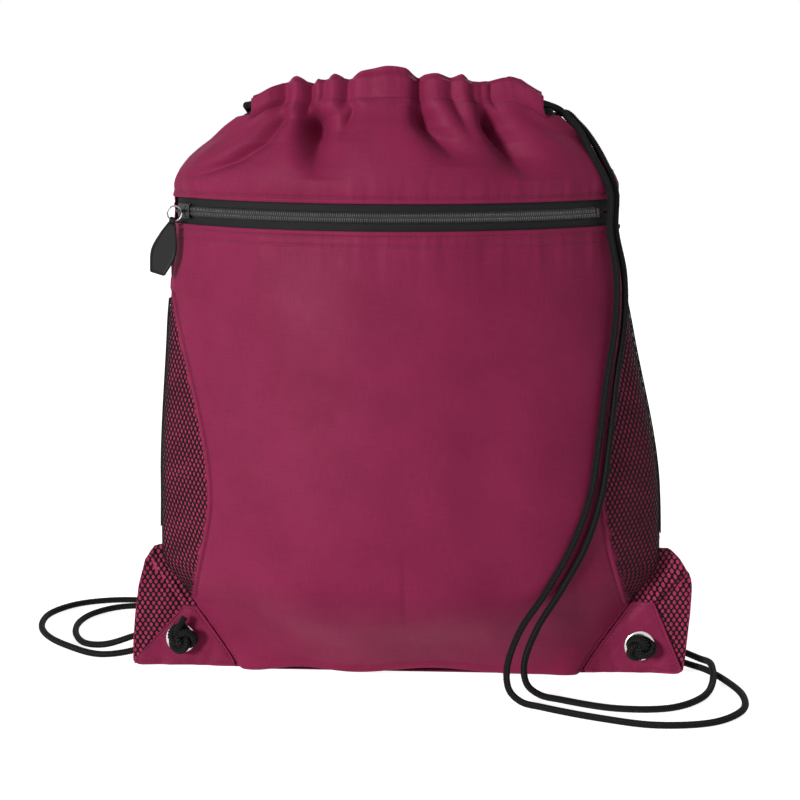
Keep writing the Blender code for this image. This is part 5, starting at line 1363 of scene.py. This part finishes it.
barrel = np.stack(np.broadcast_arrays(
    HALF_LOOP * power[1], reach * np.cos(swing), RING_RADIUS + reach * np.sin(swing)), -1)
made, tree, shader = finish_of("pull_moulding", 0.42)
mask = node(tree, "SeparateXYZ", {0: node(tree, "UVMap", uv_map="flat").outputs[0]}).outputs[0]
spot = node(tree, "TexCoord").outputs["Object"]
grain = node(tree, "TexNoise", {"Vector": spot, "Scale": 1800.0}).outputs["Fac"]
tint(tree, shader, mask, (0.008, 0.008, 0.009), (0.016, 0.016, 0.017))
shader.inputs["Specular IOR Level"].default_value = 0.18
relief(tree, shader, grain, 0.2, 0.0001)
leaf = grid_mesh("tab", hanging(tab), chart, ring=True, caps=True)
eye_loop = grid_mesh("loop", hanging(barrel), ring=True, loop=True)
add("pull_leaf", joined("pull_leaf", leaf, eye_loop), made, body="pull",
    stands_for=["pull_tab"])

# Picture: a white studio with a broad soft light from the left front, and the camera level with the top
# of the bag, looking a little down.
# FLOOR_GLOW makes the floor glow for every ray, so that it lights the bag from below though it is no lamp, as
# painted bounce light. FLOOR_SEEN is added where the camera or a reflection sees it, to make it white.
FLOOR_GLOW, FLOOR_SEEN = 0.18, 0.68
LIGHTS = (  # name, strength, softness, tilt from straight down and turn, in degrees
    ("key_light", 2.65, 14, 76, -38), ("back_light", 0.8, 40, 55, 160),
)
CAMERA_PLACE, CAMERA_DOWN, CAMERA_TURN, CAMERA_LENS = (0.0755, -1.28, 0.3760), 9.1, 3.624, 96.07


def staged(name, data, place=(0, 0, 0), turn=(0, 0, 0)):
    """Something that belongs to the picture and not to the object."""
    piece = bpy.data.objects.new(name, data)
    bpy.context.scene.collection.objects.link(piece)
    piece.location, piece.rotation_euler = place, turn
    return piece


floor = bpy.data.meshes.new("studio_floor")
floor.from_pydata([(-4, -4, 0), (4, -4, 0), (4, 6, 0), (-4, 6, 0)], [], [(0, 1, 2, 3)])
pale, tree, shader = finish_of("studio_white", 0.9)
shader.inputs["Base Color"].default_value = (0.90, 0.90, 0.90, 1)
shader.inputs["Specular IOR Level"].default_value = 0.0
shader.inputs["Emission Color"].default_value = (1, 1, 1, 1)
path = node(tree, "LightPath").outputs
seen = work_out(tree, "MAXIMUM", path["Is Camera Ray"], path["Is Glossy Ray"])
glow = work_out(tree, "MULTIPLY_ADD", seen, FLOOR_SEEN, FLOOR_GLOW)
tree.links.new(glow, shader.inputs["Emission Strength"])
floor.materials.append(pale)
staged("studio_floor", floor)

world = bpy.data.worlds.new("studio")
world.use_nodes = True
bpy.context.scene.world = world
tree = world.node_tree
path = node(tree, "LightPath").outputs
plain = work_out(tree, "MAXIMUM", path["Is Camera Ray"], path["Is Transmission Ray"])
plain = work_out(tree, "MAXIMUM", plain, path["Is Glossy Ray"])
up = node(tree, "SeparateXYZ", {0: node(tree, "TexCoord").outputs["Generated"]}).outputs[2]
soft = node(tree, "MapRange", {"Value": up, 1: 0.05, 2: 0.75, 3: 0.54, 4: 0.02}).outputs[0]
grey = node(tree, "Mix", {0: plain, 6: soft, 7: (1, 1, 1, 1)}, data_type="RGBA").outputs[2]
tree.links.new(grey, tree.nodes["Background"].inputs["Color"])

for title, power, soft, tilt, turn in LIGHTS:
    lamp = bpy.data.lights.new(title, "SUN")
    lamp.energy, lamp.angle = power, math.radians(soft)
    staged(title, lamp, (0, 0, 1.5), (math.radians(tilt), 0, math.radians(turn)))

lens = bpy.data.cameras.new("camera")
lens.lens = CAMERA_LENS
bpy.context.scene.camera = staged(
    "camera", lens, CAMERA_PLACE, (math.radians(90 - CAMERA_DOWN), 0, math.radians(CAMERA_TURN)))
bpy.context.scene.view_settings.view_transform = "Standard"
